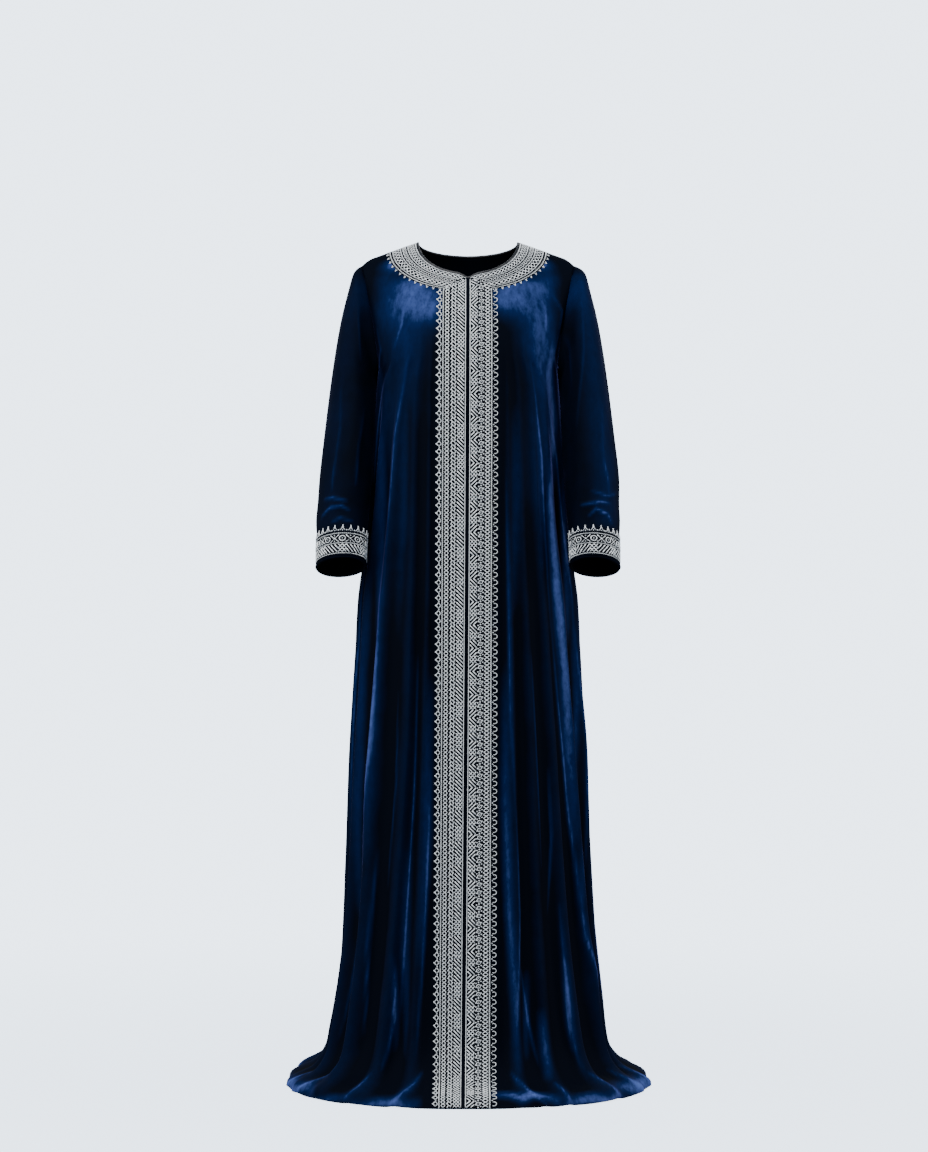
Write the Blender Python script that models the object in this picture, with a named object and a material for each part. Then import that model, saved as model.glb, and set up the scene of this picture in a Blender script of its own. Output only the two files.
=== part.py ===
"""Full-length velvet takchita robe with silver bands, worn and hollow.

Metres, +Z up, the front faces -Y and the wearer's right is -X. The origin lies between
the two neck points, on the line where the wearer's shoulders hold the robe.
Every panel is a grid of points: columns run from the centre line to the side seam, the
armhole and the shoulder seam, and rows run from the hem to the neck edge.
"""

import math
from collections import namedtuple

import bpy
import numpy as np

# Driving sizes
FLOOR = -1.470
WALL = 0.002
SEAM_GAP = 0.0004
ARMHOLE_GAP = 0.0008
BAND_WIDTH = 0.044
TOOTH_REACH = 0.056
FRONT_TOOTH_PITCH = 0.0132
NECK_TOOTH_PITCH = 0.0115
CUFF_TOOTH_PITCH = 0.0140
BAND_WALL = 0.0014
BAND_GAP = 0.0004
NECK_BAND_GAP = 0.0008
EDGE_SHOWN = 0.002
BINDING_RADIUS = 0.0020
BINDING_SIDES = 6

# The centre line leans to one side towards the hem, and the cloth near it follows
CENTRE_LEAN = -0.009
LEAN_CURVE = 1.5
LEAN_REACH = 0.110

# Upper body: chest level, shoulder line and armhole
CHEST_HEIGHT = -0.230
NECK_HALF_WIDTH = 0.0895
SHOULDER_SLOPE = -0.35
TOP_HALF_WIDTH = 0.2035
ARMHOLE_INSET = 0.09
ARMHOLE_CURVE = 0.4
ROW_SWEEP = 2.5
SIDE_ROUNDNESS = 2.3
SHOULDER_ROUNDNESS = {"front": 1.6, "back": 1.9}
FACING = {"front": -1.0, "back": 1.0}
WEARER_SIDE = {"right": -1.0, "left": 1.0}

# Levels of the skirt from the hem up, with the depth of the folds there
Ring = namedtuple("Ring", "height half_width front_depth back_depth fold lift")
RINGS = [
    Ring(FLOOR + WALL, 0.313, 0.312, 0.325, 0.004, 0.001),
    Ring(-1.461, 0.306, 0.303, 0.316, 0.006, 0.002),
    Ring(-1.449, 0.292, 0.286, 0.299, 0.010, 0.003),
    Ring(-1.434, 0.270, 0.261, 0.273, 0.015, 0.003),
    Ring(-1.405, 0.249, 0.238, 0.249, 0.019, 0.0),
    Ring(-1.360, 0.237, 0.222, 0.232, 0.021, 0.0),
    Ring(-1.290, 0.228, 0.210, 0.219, 0.020, 0.0),
    Ring(-1.200, 0.219, 0.198, 0.207, 0.018, 0.0),
    Ring(-1.090, 0.213, 0.186, 0.195, 0.016, 0.0),
    Ring(-0.980, 0.209, 0.175, 0.184, 0.0145, 0.0),
    Ring(-0.870, 0.205, 0.167, 0.175, 0.013, 0.0),
    Ring(-0.770, 0.199, 0.160, 0.167, 0.0115, 0.0),
    Ring(-0.680, 0.194, 0.156, 0.160, 0.010, 0.0),
    Ring(-0.590, 0.185, 0.152, 0.153, 0.008, 0.0),
    Ring(-0.490, 0.173, 0.148, 0.145, 0.007, 0.0),
    Ring(-0.390, 0.1665, 0.144, 0.137, 0.006, 0.0),
    Ring(-0.300, 0.160, 0.139, 0.130, 0.0042, 0.0),
    Ring(CHEST_HEIGHT, 0.158, 0.134, 0.125, 0.003, 0.0),
]

# Rows that end on the shoulder seam: how far out, and how far they drop at the centre line
Yoke = namedtuple("Yoke", "reach front_drop back_drop roundness")
YOKES = [
    Yoke(0.1850, 0.0920, 0.0600, 0.55),
    Yoke(0.1680, 0.0875, 0.0530, 0.80),
    Yoke(0.1510, 0.0830, 0.0455, 1.00),
    Yoke(0.1395, 0.0750, 0.0385, 1.00),
    Yoke(NECK_HALF_WIDTH, 0.0625, 0.0200, 1.00),
]
ARMHOLE_ROWS = 9
FOLD_FADE = 0.75

# Crests of the folds, as a share of the way from the band to the side seam
Crest = namedtuple("Crest", "chest hip knee hem depth")
CRESTS = {
    ("front", "right"): [
        Crest(0.05, 0.05, 0.07, 0.11, 0.80),
        Crest(0.20, 0.19, 0.19, 0.29, 1.00),
        Crest(0.36, 0.43, 0.48, 0.52, 1.15),
        Crest(0.60, 0.68, 0.68, 0.72, 1.05),
        Crest(0.78, 0.84, 0.86, 0.90, 0.90),
    ],
    ("front", "left"): [
        Crest(0.06, 0.07, 0.08, 0.08, 0.85),
        Crest(0.18, 0.19, 0.21, 0.24, 0.75),
        Crest(0.31, 0.34, 0.38, 0.45, 0.90),
        Crest(0.46, 0.52, 0.57, 0.68, 1.20),
        Crest(0.72, 0.78, 0.80, 0.87, 1.00),
    ],
    ("back", "right"): [
        Crest(0.10, 0.12, 0.14, 0.15, 0.90),
        Crest(0.28, 0.30, 0.32, 0.33, 1.10),
        Crest(0.45, 0.48, 0.51, 0.53, 0.80),
        Crest(0.64, 0.66, 0.68, 0.70, 1.10),
        Crest(0.78, 0.82, 0.86, 0.88, 0.90),
    ],
    ("back", "left"): [
        Crest(0.07, 0.09, 0.11, 0.12, 1.10),
        Crest(0.24, 0.26, 0.28, 0.31, 0.90),
        Crest(0.43, 0.45, 0.47, 0.50, 1.10),
        Crest(0.62, 0.64, 0.66, 0.69, 0.85),
        Crest(0.81, 0.83, 0.85, 0.87, 1.00),
    ],
}
CREST_HEIGHTS = {"chest": -0.23, "hip": -0.59, "knee": -0.87, "hem": -1.40}
CREST_SHARPNESS = 1.5
CREST_REST = 0.30
BAND_FADE = 0.5
CENTRE_BACK_FOLD = (0.90, 0.15, 0.0)

# Sleeve sections from the armhole down, with the rise of their outer and front points
Section = namedtuple("Section", "height outer inner front back rise_outer rise_front toe_in")
SECTIONS = [
    Section(-0.150, 0.1965, 0.1650, -0.058, 0.056, 0.099, 0.0000, 0.000),
    Section(-0.172, 0.2060, 0.1667, -0.067, 0.062, 0.092, 0.0000, 0.001),
    Section(-0.215, 0.2190, 0.1670, -0.077, 0.062, 0.082, 0.0000, 0.003),
    Section(-0.265, 0.2310, 0.1665, -0.085, 0.056, 0.062, 0.0000, 0.006),
    Section(-0.318, 0.2410, 0.1668, -0.093, 0.046, 0.040, 0.0010, 0.007),
    Section(-0.370, 0.2490, 0.1680, -0.103, 0.032, 0.022, 0.0040, 0.007),
    Section(-0.420, 0.2555, 0.1695, -0.113, 0.015, 0.009, 0.0090, 0.007),
    Section(-0.460, 0.2600, 0.1712, -0.121, 0.000, 0.003, 0.0120, 0.007),
    Section(-0.488, 0.2630, 0.1725, -0.127, -0.012, 0.001, 0.0150, 0.006),
    Section(-0.511, 0.2615, 0.1737, -0.132, -0.022, 0.000, 0.0160, 0.006),
    Section(-0.523, 0.2620, 0.1745, -0.135, -0.028, 0.000, 0.0165, 0.006),
    Section(-0.562, 0.2615, 0.1758, -0.143, -0.047, 0.000, 0.0170, 0.006),
    Section(-0.566, 0.2612, 0.1760, -0.1437, -0.049, 0.000, 0.0170, 0.006),
]
CUFF_TOOTH_RING = 10
CUFF_CORD_RING = 11
CUFF_FOOT_RING = 12
SHARED_FROM = 0.35
SHARED_TO = 0.65

# Soft folds down the sleeve: place round it, first and last ring, and depth
SleeveFold = namedtuple("SleeveFold", "turn first last depth")
SLEEVE_FOLDS = [
    SleeveFold(40.0, 2, 6, 0.0035),
    SleeveFold(100.0, 3, 8, 0.0040),
    SleeveFold(-60.0, 2, 7, 0.0035),
    SleeveFold(-120.0, 4, 9, 0.0030),
]
SLEEVE_FOLD_HALF_WIDTH = 26.0

CURVE_POINTS = 241
SAME_PLACE = 0.08


def shoulder_height(x):
    """Height of the shoulder line at a distance from the centre."""
    return SHOULDER_SLOPE * (x - NECK_HALF_WIDTH)


def armhole_point(share_up):
    """Front view of the armhole: distance out and height, from underarm to shoulder tip."""
    width = RINGS[-1].half_width + (TOP_HALF_WIDTH - RINGS[-1].half_width) * share_up
    x = width * (1.0 - ARMHOLE_INSET * share_up ** ARMHOLE_CURVE)
    return x, CHEST_HEIGHT + share_up * (shoulder_height(x) - CHEST_HEIGHT)


def upper_depth(x, z, face):
    """Depth of the chest or upper back behind a point of its front view."""
    share_up = np.clip((z - CHEST_HEIGHT) / (shoulder_height(x) - CHEST_HEIGHT), 0.0, 1.0)
    width = RINGS[-1].half_width + (TOP_HALF_WIDTH - RINGS[-1].half_width) * share_up
    reach = np.clip(x / width, 0.0, 1.0)
    depth = RINGS[-1].front_depth if face == "front" else RINGS[-1].back_depth
    round_side = (1.0 - reach ** SIDE_ROUNDNESS) ** (1.0 / SIDE_ROUNDNESS)
    top = SHOULDER_ROUNDNESS[face]
    round_top = (1.0 - share_up ** top) ** (1.0 / top)
    return FACING[face] * depth * round_side * round_top


def armhole_shares(face):
    """Heights, as shares, that divide one half of the armhole evenly by its length."""
    share = np.linspace(0.0, 1.0, CURVE_POINTS) ** 2
    x, z = armhole_point(share)
    y = upper_depth(x, z, face)
    lengths = np.hypot(np.hypot(np.diff(x), np.diff(y)), np.diff(z))
    run = np.concatenate([[0.0], np.cumsum(lengths)])
    return np.interp(np.linspace(0.0, run[-1], ARMHOLE_ROWS + 1), run, share)


def ring_curve(ring, face):
    """A level of the skirt, from the centre line to the side seam."""
    turn = np.linspace(0.0, math.pi / 2, CURVE_POINTS)
    depth = ring.front_depth if face == "front" else ring.back_depth
    x = ring.half_width * np.sin(turn) ** (2.0 / SIDE_ROUNDNESS)
    y = FACING[face] * depth * np.cos(turn).clip(0.0) ** (2.0 / SIDE_ROUNDNESS)
    return np.column_stack([x, y, np.full_like(x, ring.height)])


def upper_curve(reach, start, end, roundness, face):
    """A row above the chest, from the centre line up to the armhole or shoulder seam."""
    turn = np.linspace(0.0, math.pi / 2, CURVE_POINTS)
    x = reach * np.sin(turn)
    rise = roundness * (1.0 - np.cos(turn)) + (1.0 - roundness) * np.sin(turn) ** ROW_SWEEP
    z = start + (end - start) * rise
    return np.column_stack([x, upper_depth(x, z, face), z])


def row_curves(face):
    """Every row of a panel half as a fine curve, with its fold depth and its lift."""
    rows = [(ring_curve(ring, face), ring.fold, ring.lift) for ring in RINGS]
    drops = [yoke.front_drop if face == "front" else yoke.back_drop for yoke in YOKES]
    tip_start = shoulder_height(YOKES[0].reach) - drops[0]
    shares = armhole_shares(face)
    for row in range(1, ARMHOLE_ROWS):
        climb = row / ARMHOLE_ROWS
        reach, end = armhole_point(shares[row])
        start = CHEST_HEIGHT + (tip_start - CHEST_HEIGHT) * climb
        roundness = YOKES[0].roundness * climb ** 2
        fold = RINGS[-1].fold * max(0.0, 1.0 - climb / FOLD_FADE)
        rows.append((upper_curve(reach, start, end, roundness, face), fold, 0.0))
    for yoke, drop in zip(YOKES, drops):
        end = shoulder_height(yoke.reach)
        curve = upper_curve(yoke.reach, end - drop, end, yoke.roundness, face)
        rows.append((curve, 0.0, 0.0))
    return rows


def column_phases(count):
    """Places between the crests: whole numbers are crests, halves are troughs."""
    phases = [-0.5, -0.2]
    for crest in range(count - 1):
        phases += [crest, crest + 1 / 3, crest + 2 / 3]
    return np.array(phases + [count - 1, count - 0.75, count - 0.5])


def crest_shares(crests, height):
    """Where the crests of a panel half lie at one height."""
    levels = sorted(CREST_HEIGHTS, key=CREST_HEIGHTS.get)
    heights = [CREST_HEIGHTS[level] for level in levels]
    return [np.interp(height, heights, [getattr(c, level) for level in levels]) for c in crests]


def resample(curve, crests, phases, height, first):
    """Column points on a row: a first column at its fixed width, then the folds by their share."""
    run = np.concatenate([[0.0], np.cumsum(np.linalg.norm(np.diff(curve, axis=0), axis=1))])
    knots = np.concatenate([[-0.5], np.arange(len(crests)), [len(crests) - 0.5]])
    shares = np.concatenate([[0.0], crest_shares(crests, height), [1.0]])
    folds = TOOTH_REACH + (run[-1] - TOOTH_REACH) * np.interp(phases, knots, shares)
    places = np.concatenate([[0.0, first], folds])
    return np.column_stack([np.interp(places, run, curve[:, axis]) for axis in range(3)])


def grid_normals(grid):
    """Unit normals of a grid of points, averaged from the faces round each point."""
    across = grid[:, 1:] - grid[:, :-1]
    up = grid[1:] - grid[:-1]
    faces = np.cross(across[:-1] + across[1:], up[:, :-1] + up[:, 1:])
    total = np.zeros_like(grid)
    for row in (0, 1):
        for column in (0, 1):
            rows = slice(row, row + faces.shape[0])
            total[rows, column:column + faces.shape[1]] += faces
    return total / np.linalg.norm(total, axis=2, keepdims=True)


def unit(vectors):
    """Vectors scaled to length one."""
    return vectors / np.linalg.norm(vectors, axis=-1, keepdims=True)


def panel_half(face, side):
    """Grid of one half of the front or back, rows from the hem, columns from the centre."""
    crests = CRESTS[face, side]
    phases = column_phases(len(crests))
    rows = row_curves(face)
    first = BAND_WIDTH if face == "front" else TOOTH_REACH / 2
    grid = np.array([resample(row[0], crests, phases, row[0][0, 2], first) for row in rows])
    if face == "front":
        normals = grid_normals(grid)
    else:
        normals = -grid_normals(grid)
    outward = normals.copy()
    outward[:, :, 2] = 0.0
    outward[:, 0, 0] = 0.0
    outward = unit(outward)
    wave = ((1.0 + np.cos(2.0 * math.pi * phases)) / 2.0) ** CREST_SHARPNESS
    middle = np.interp(phases, range(len(crests)), [crest.depth for crest in crests])
    at_seam = np.clip((phases - (len(crests) - 1)) * 2.0, 0.0, 1.0)
    scale = middle * (1.0 - at_seam) + at_seam
    shape = np.concatenate([[0.0, 0.0], wave * scale])
    rest = np.concatenate([[1.0, 1.0], scale]) * CREST_REST
    if face == "front":
        fade = np.concatenate([[0.0, 0.0], np.clip((phases + 0.5) / BAND_FADE, 0.0, 1.0)])
    else:
        fade = np.ones_like(shape)
        shape[:3] = CENTRE_BACK_FOLD
        rest[:3] = CREST_REST
    fold = np.array([row[1] for row in rows])[:, None]
    lift = np.array([row[2] for row in rows])[:, None]
    grid += outward * (fold * (shape - rest) * fade)[:, :, None]
    grid[:, :, 2] += lift * (shape * fade)
    if face == "front":
        drop = np.clip(grid[:, :1, 2] / FLOOR, 0.0, 1.0) ** LEAN_CURVE
        near = np.clip(1.0 - np.abs(grid[:, :, 0]) / LEAN_REACH, 0.0, 1.0)
        lean = CENTRE_LEAN * WEARER_SIDE[side] * drop * near
        grid[:, :, 0] += lean
    grid[:, :, 0] *= WEARER_SIDE[side]
    return grid


def outward_normals(grid, face, side):
    """Normals of a panel half that point away from the wearer."""
    normals = grid_normals(grid) * -FACING[face] * WEARER_SIDE[side]
    normals[:, 0, 0] = 0.0
    return unit(normals)


def toward(points, targets, distance):
    """Points moved a short distance towards other points."""
    return points + unit(targets - points) * distance


def material(name, colour, roughness, metallic):
    """Principled finish with the colour of one part."""
    finish = bpy.data.materials.new(name)
    finish.use_nodes = True
    shader = finish.node_tree.nodes["Principled BSDF"]
    shader.inputs["Base Color"].default_value = (*colour, 1.0)
    shader.inputs["Roughness"].default_value = roughness
    shader.inputs["Metallic"].default_value = metallic
    return finish


def wall_object(name, outer, inner, faces, finish):
    """Closed wall between two matching sets of points, joined along every open edge."""
    count = len(outer)
    edges = {(face[i], face[(i + 1) % 3]) for face in faces for i in range(3)}
    rim = [(a, b) for a, b in edges if (b, a) not in edges]
    every = [tuple(face) for face in faces]
    every += [tuple(count + index for index in reversed(face)) for face in faces]
    for a, b in sorted(rim):
        every.append((b, a, a + count))
        every.append((b, a + count, b + count))
    mesh = bpy.data.meshes.new(name)
    points = np.concatenate([outer, inner])
    mesh.from_pydata([tuple(map(float, point)) for point in points], [], every)
    mesh.materials.append(finish)
    piece = bpy.data.objects.new(name, mesh)
    bpy.context.scene.collection.objects.link(piece)
    return piece


def grid_faces(rows, columns, flip, wrap=False):
    """Triangles of a grid, each cell cut along the same diagonal."""
    faces = []
    for row in range(rows - 1):
        for column in range(columns if wrap else columns - 1):
            a = row * columns + column
            b = row * columns + (column + 1) % columns
            c = b + columns
            d = a + columns
            faces += [(a, d, b), (b, d, c)] if flip else [(a, b, d), (b, c, d)]
    return faces


def build_panels(grids, normals, velvet):
    """Two fronts and the back, each pulled back from its seams by half of the gap."""
    half_gap = SEAM_GAP / 2
    trimmed = {}
    for key, grid in grids.items():
        trimmed[key] = grid.copy()
        trimmed[key][:, -1] = toward(grid[:, -1], grid[:, -2], half_gap)
        if key[0] == "front":
            trimmed[key][:, 0] = toward(grid[:, 0], grid[:, 1], half_gap)
    for side in WEARER_SIDE:
        key = ("front", side)
        outer = trimmed[key].reshape(-1, 3)
        inner = (trimmed[key] - normals[key] * WALL).reshape(-1, 3)
        faces = grid_faces(*trimmed[key].shape[:2], flip=side == "right")
        wall_object("front_" + side, outer, inner, faces, velvet)
    both = [np.concatenate([source["back", "right"][:, :0:-1], source["back", "left"]], axis=1)
            for source in (trimmed, normals)]
    outer = both[0].reshape(-1, 3)
    inner = (both[0] - both[1] * WALL).reshape(-1, 3)
    wall_object("back", outer, inner, grid_faces(*both[0].shape[:2], flip=True), velvet)


def sleeve_rings(side, grids, normals):
    """Rings of a sleeve: the armhole's own points first, then the table's sections."""
    first = len(RINGS) - 1
    last = first + ARMHOLE_ROWS
    front = grids["front", side][first:last + 1, -1]
    back = grids["back", side][last - 1:first:-1, -1]
    loop = np.concatenate([front, back])
    seam = np.concatenate([normals["front", side][first:last + 1, -1],
                           normals["back", side][last - 1:first:-1, -1]])
    turn = math.pi * (1.0 - np.arange(2 * ARMHOLE_ROWS) / ARMHOLE_ROWS)
    rings = [loop]
    for number, section in enumerate(SECTIONS, start=1):
        out = np.cos(turn)
        forward = np.sin(turn)
        swell = np.zeros_like(turn)
        for fold in SLEEVE_FOLDS:
            apart = (np.degrees(turn) - fold.turn + 180.0) % 360.0 - 180.0
            bell = np.clip(1.0 - np.abs(apart) / SLEEVE_FOLD_HALF_WIDTH, 0.0, 1.0)
            along = (number - fold.first) / (fold.last - fold.first)
            if 0.0 < along < 1.0:
                swell += fold.depth * bell * math.sin(math.pi * along)
        half_out = (section.outer - section.inner) / 2 + swell
        half_deep = (section.back - section.front) / 2 + swell
        x = (section.outer + section.inner) / 2 + out * half_out - section.toe_in * forward
        y = (section.back + section.front) / 2 - forward * half_deep
        z = section.height + out * section.rise_outer + forward * section.rise_front
        rings.append(np.column_stack([WEARER_SIDE[side] * x, y, z]))
    return np.array(rings), seam


def ring_normals(rings, side):
    """Normals of a sleeve that point away from the arm."""
    closed = np.concatenate([rings[:, -1:], rings, rings[:, :1]], axis=1)
    return grid_normals(closed)[:, 1:-1] * -WEARER_SIDE[side]


def build_sleeve(side, grids, normals, velvet):
    """A sleeve tube; its first ring shares the armhole's points and normals."""
    rings, seam = sleeve_rings(side, grids, normals)
    out = ring_normals(rings, side)
    climb = 1.0 - np.abs(1.0 - np.arange(len(seam)) / ARMHOLE_ROWS)
    shared = np.clip((climb - SHARED_FROM) / (SHARED_TO - SHARED_FROM), 0.0, 1.0)[:, None]
    out[0] = unit(seam * shared + out[0] * (1.0 - shared))
    trimmed = rings.copy()
    trimmed[0] = toward(rings[0], rings[1], ARMHOLE_GAP) + seam * (1.0 - shared) * ARMHOLE_GAP
    faces = grid_faces(*rings.shape[:2], flip=side == "left", wrap=True)
    wall_object("sleeve_" + side, trimmed.reshape(-1, 3), (trimmed - out * WALL).reshape(-1, 3),
                faces, velvet)
    return rings, out


def at(rail, place):
    """Point on a rail at a fractional place between its own points."""
    low = min(int(place), len(rail) - 2)
    return rail[low] + (rail[low + 1] - rail[low]) * (place - low)


def even_places(rail, pitch, begin, end):
    """Fractional places that divide a stretch of a rail evenly, close to a pitch."""
    run = np.concatenate([[0.0], np.cumsum(np.linalg.norm(np.diff(rail[:, :3], axis=0), axis=1))])
    places = np.arange(len(rail))
    first, last = np.interp([begin, end], places, run)
    count = max(1, round((last - first) / pitch))
    return np.interp(np.linspace(first, last, count + 1), run, places)


def toothed_band(name, rails, pitch, stops, flip, finish, mitre=(None, None), closed=False,
                 gap=BAND_GAP, turned=()):
    """Flat band with a toothed edge, from the panel's own points moved out.

    rails holds the inner edge, the cord line and the line of the tooth tips, each point
    with its normal. stops divide the stretch that has teeth, and no tooth crosses a stop.
    mitre holds an extra inner point at either end, which makes a slanting end there, and
    turned the stretches whose cells are cut along the panel's other diagonal.
    """
    inner, cord, tips = rails
    last = len(cord) - 1
    bases = [stops[0]]
    for begin, end in zip(stops[:-1], stops[1:]):
        bases += list(even_places(cord, pitch, begin, end)[1:])
    bases = np.array(bases, dtype=float)
    whole = [row for row in range(last + 1)
             if not stops[0] <= row <= stops[-1] or np.min(np.abs(bases - row)) > SAME_PLACE]
    places = sorted(set(whole) | set(bases))
    if closed:
        places = places[:-1]
    rows = [(at(inner, place), at(cord, place)) for place in places]
    points = [point for row in rows for point in row]
    faces = []
    for row in range(len(rows) if closed else len(rows) - 1):
        following = (row + 1) % len(rows)
        a, b, c, d = 2 * row, 2 * row + 1, 2 * following + 1, 2 * following
        if any(low <= places[row] < high for low, high in turned):
            faces += [(a, b, d), (b, c, d)]
        else:
            faces += [(a, b, c), (a, c, d)]
    for low, high in zip(bases[:-1], bases[1:]):
        points.append(at(tips, (low + high) / 2))
        tip = len(points) - 1
        foot = [row for row, place in enumerate(places) if low <= place <= high]
        if closed and high == bases[-1]:
            foot.append(0)
        faces += [(2 * a + 1, tip, 2 * b + 1) for a, b in zip(foot[:-1], foot[1:])]
    if mitre[0] is not None:
        points.append(mitre[0])
        faces.append((len(points) - 1, 1, 0))
    if mitre[1] is not None:
        points.append(mitre[1])
        end = 2 * (len(rows) - 1)
        faces.append((end, end + 1, len(points) - 1))
    points = np.array(points)
    if flip:
        faces = [face[::-1] for face in faces]
    inner_side = points[:, :3] + points[:, 3:] * gap
    outer_side = points[:, :3] + points[:, 3:] * (gap + BAND_WALL)
    wall_object(name, outer_side, inner_side, faces, finish)


def build_front_band(side, grids, normals, braid):
    """Front band from the hem up to the slanting seam at the neck corner."""
    rails = np.concatenate([grids["front", side], normals["front", side]], axis=2)
    cord_row = rails.shape[0] - 2
    edge = rails[:, 0] + (rails[:, 1] - rails[:, 0]) * (EDGE_SHOWN / BAND_WIDTH)
    inner = edge[:cord_row + 1]
    cord = rails[:cord_row + 1, 1].copy()
    cord[-1, :3] = toward(rails[cord_row, 1, :3], rails[cord_row - 1, 1, :3], SEAM_GAP)
    tips = rails[:cord_row + 1, 2]
    notch = edge[cord_row + 1].copy()
    notch[:3] = toward(notch[:3], inner[-1, :3], 2 * SEAM_GAP)
    toothed_band("front_band_" + side, (inner, cord, tips), FRONT_TOOTH_PITCH,
                 (0, cord_row - 1), side == "right", braid, mitre=(None, notch),
                 turned=[(0, cord_row)])


def build_neck_band(grids, normals, braid):
    """Neck band from one front corner round the back to the other."""
    stretches = []
    notches = []
    for face, side in (("front", "right"), ("back", "right"), ("back", "left"), ("front", "left")):
        rails = np.concatenate([grids[face, side], normals[face, side]], axis=2)
        rows = [rails[-1], rails[-2], rails[-3]]
        if face == "front":
            notches.append(rails[-1, 0] + (rails[-1, 1] - rails[-1, 0]) * (EDGE_SHOWN / BAND_WIDTH))
            rows = [row[1:] for row in rows]
        if (face, side) in (("back", "right"), ("front", "left")):
            rows = [row[::-1] for row in rows]
        stretches.append(rows if not stretches else [row[1:] for row in rows])
    inner, cord, tips = (np.concatenate(parts) for parts in zip(*stretches))
    quarter = grids["back", "right"].shape[1] - 1
    stops = [1, quarter - 1, 2 * quarter - 1, 3 * quarter - 1, len(cord) - 2]
    toothed_band("neck_band", (inner, cord, tips), NECK_TOOTH_PITCH, stops,
                 True, braid, mitre=notches, gap=NECK_BAND_GAP,
                 turned=[tuple(stops[1:3]), tuple(stops[3:])])


def build_binding(grids, normals, velvet):
    """Thin rolled binding along the whole neck edge."""
    middle = []
    for face, side in (("front", "right"), ("back", "right"), ("back", "left"), ("front", "left")):
        edge = grids[face, side][-1]
        up = unit(edge - grids[face, side][-2])
        out = normals[face, side][-1]
        clear = BINDING_RADIUS + SEAM_GAP
        line = edge + up * clear - out * (WALL / 2)
        frame = np.concatenate([line, up, out], axis=1)[::2]
        if (face, side) in (("back", "right"), ("front", "left")):
            frame = frame[::-1]
        middle.append(frame if not middle else frame[1:])
    rail = np.concatenate(middle)
    turns = np.arange(BINDING_SIDES) * 2.0 * math.pi / BINDING_SIDES
    across = [math.cos(turn) * rail[:, 3:6] + math.sin(turn) * rail[:, 6:] for turn in turns]
    rings = [rail[:, :3] + BINDING_RADIUS * offset for offset in across]
    points = np.stack(rings, axis=1)
    points[0, :, 0] = np.minimum(points[0, :, 0], -SEAM_GAP)
    points[-1, :, 0] = np.maximum(points[-1, :, 0], SEAM_GAP)
    count = len(points)
    faces = grid_faces(count, BINDING_SIDES, flip=True, wrap=True)
    faces += [(0, i, i + 1) for i in range(1, BINDING_SIDES - 1)]
    base = (count - 1) * BINDING_SIDES
    faces += [(base, base + i + 1, base + i) for i in range(1, BINDING_SIDES - 1)]
    mesh = bpy.data.meshes.new("neck_binding")
    mesh.from_pydata([tuple(map(float, p)) for p in points.reshape(-1, 3)], [], faces)
    mesh.materials.append(velvet)
    bpy.context.scene.collection.objects.link(bpy.data.objects.new("neck_binding", mesh))


def build_cuff_band(side, rings, out, braid):
    """Toothed band round the sleeve end, just above its bare velvet edge."""
    rails = np.concatenate([rings, out], axis=2)
    closed = np.concatenate([rails, rails[:, :1]], axis=1)
    chosen = [closed[ring] for ring in (CUFF_FOOT_RING, CUFF_CORD_RING, CUFF_TOOTH_RING)]
    toothed_band("cuff_band_" + side, chosen, CUFF_TOOTH_PITCH, range(closed.shape[1]),
                 side == "left", braid, closed=True)


def shared_normals(grids):
    """Normals of the four halves, made the same on both sides of every seam."""
    normals = {key: outward_normals(grid, *key) for key, grid in grids.items()}
    chest = len(RINGS) - 1
    tip = chest + ARMHOLE_ROWS
    for side in WEARER_SIDE:
        front = normals["front", side]
        back = normals["back", side]
        for rows in (slice(0, chest + 1), slice(tip, None)):
            mean = unit(front[rows, -1] + back[rows, -1])
            front[rows, -1] = mean
            back[rows, -1] = mean
    return normals


def main():
    """Clear the scene and build every piece of the robe."""
    for piece in list(bpy.data.objects):
        bpy.data.objects.remove(piece, do_unlink=True)
    velvet = material("navy velvet", (0.006, 0.022, 0.105), 0.75, 0.0)
    piping = material("navy binding", (0.004, 0.012, 0.050), 0.70, 0.0)
    braid = material("silver braid", (0.55, 0.57, 0.62), 0.45, 0.4)
    grids = {key: panel_half(*key) for key in CRESTS}
    normals = shared_normals(grids)
    build_panels(grids, normals, velvet)
    for side in WEARER_SIDE:
        rings, out = build_sleeve(side, grids, normals, velvet)
        build_cuff_band(side, rings, out, braid)
        build_front_band(side, grids, normals, braid)
    build_neck_band(grids, normals, braid)
    build_binding(grids, normals, piping)


main()
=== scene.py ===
"""Looks of the velvet takchita robe: draped cloth, raised silver stitching and a plain studio.

Metres, +Z up, the front faces -Y and the wearer's right is -X. The robe's panels are read
from the same sizes as its plain solids, finer, and then creased along listed lines.
"""

import functools
import math
from collections import namedtuple

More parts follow.
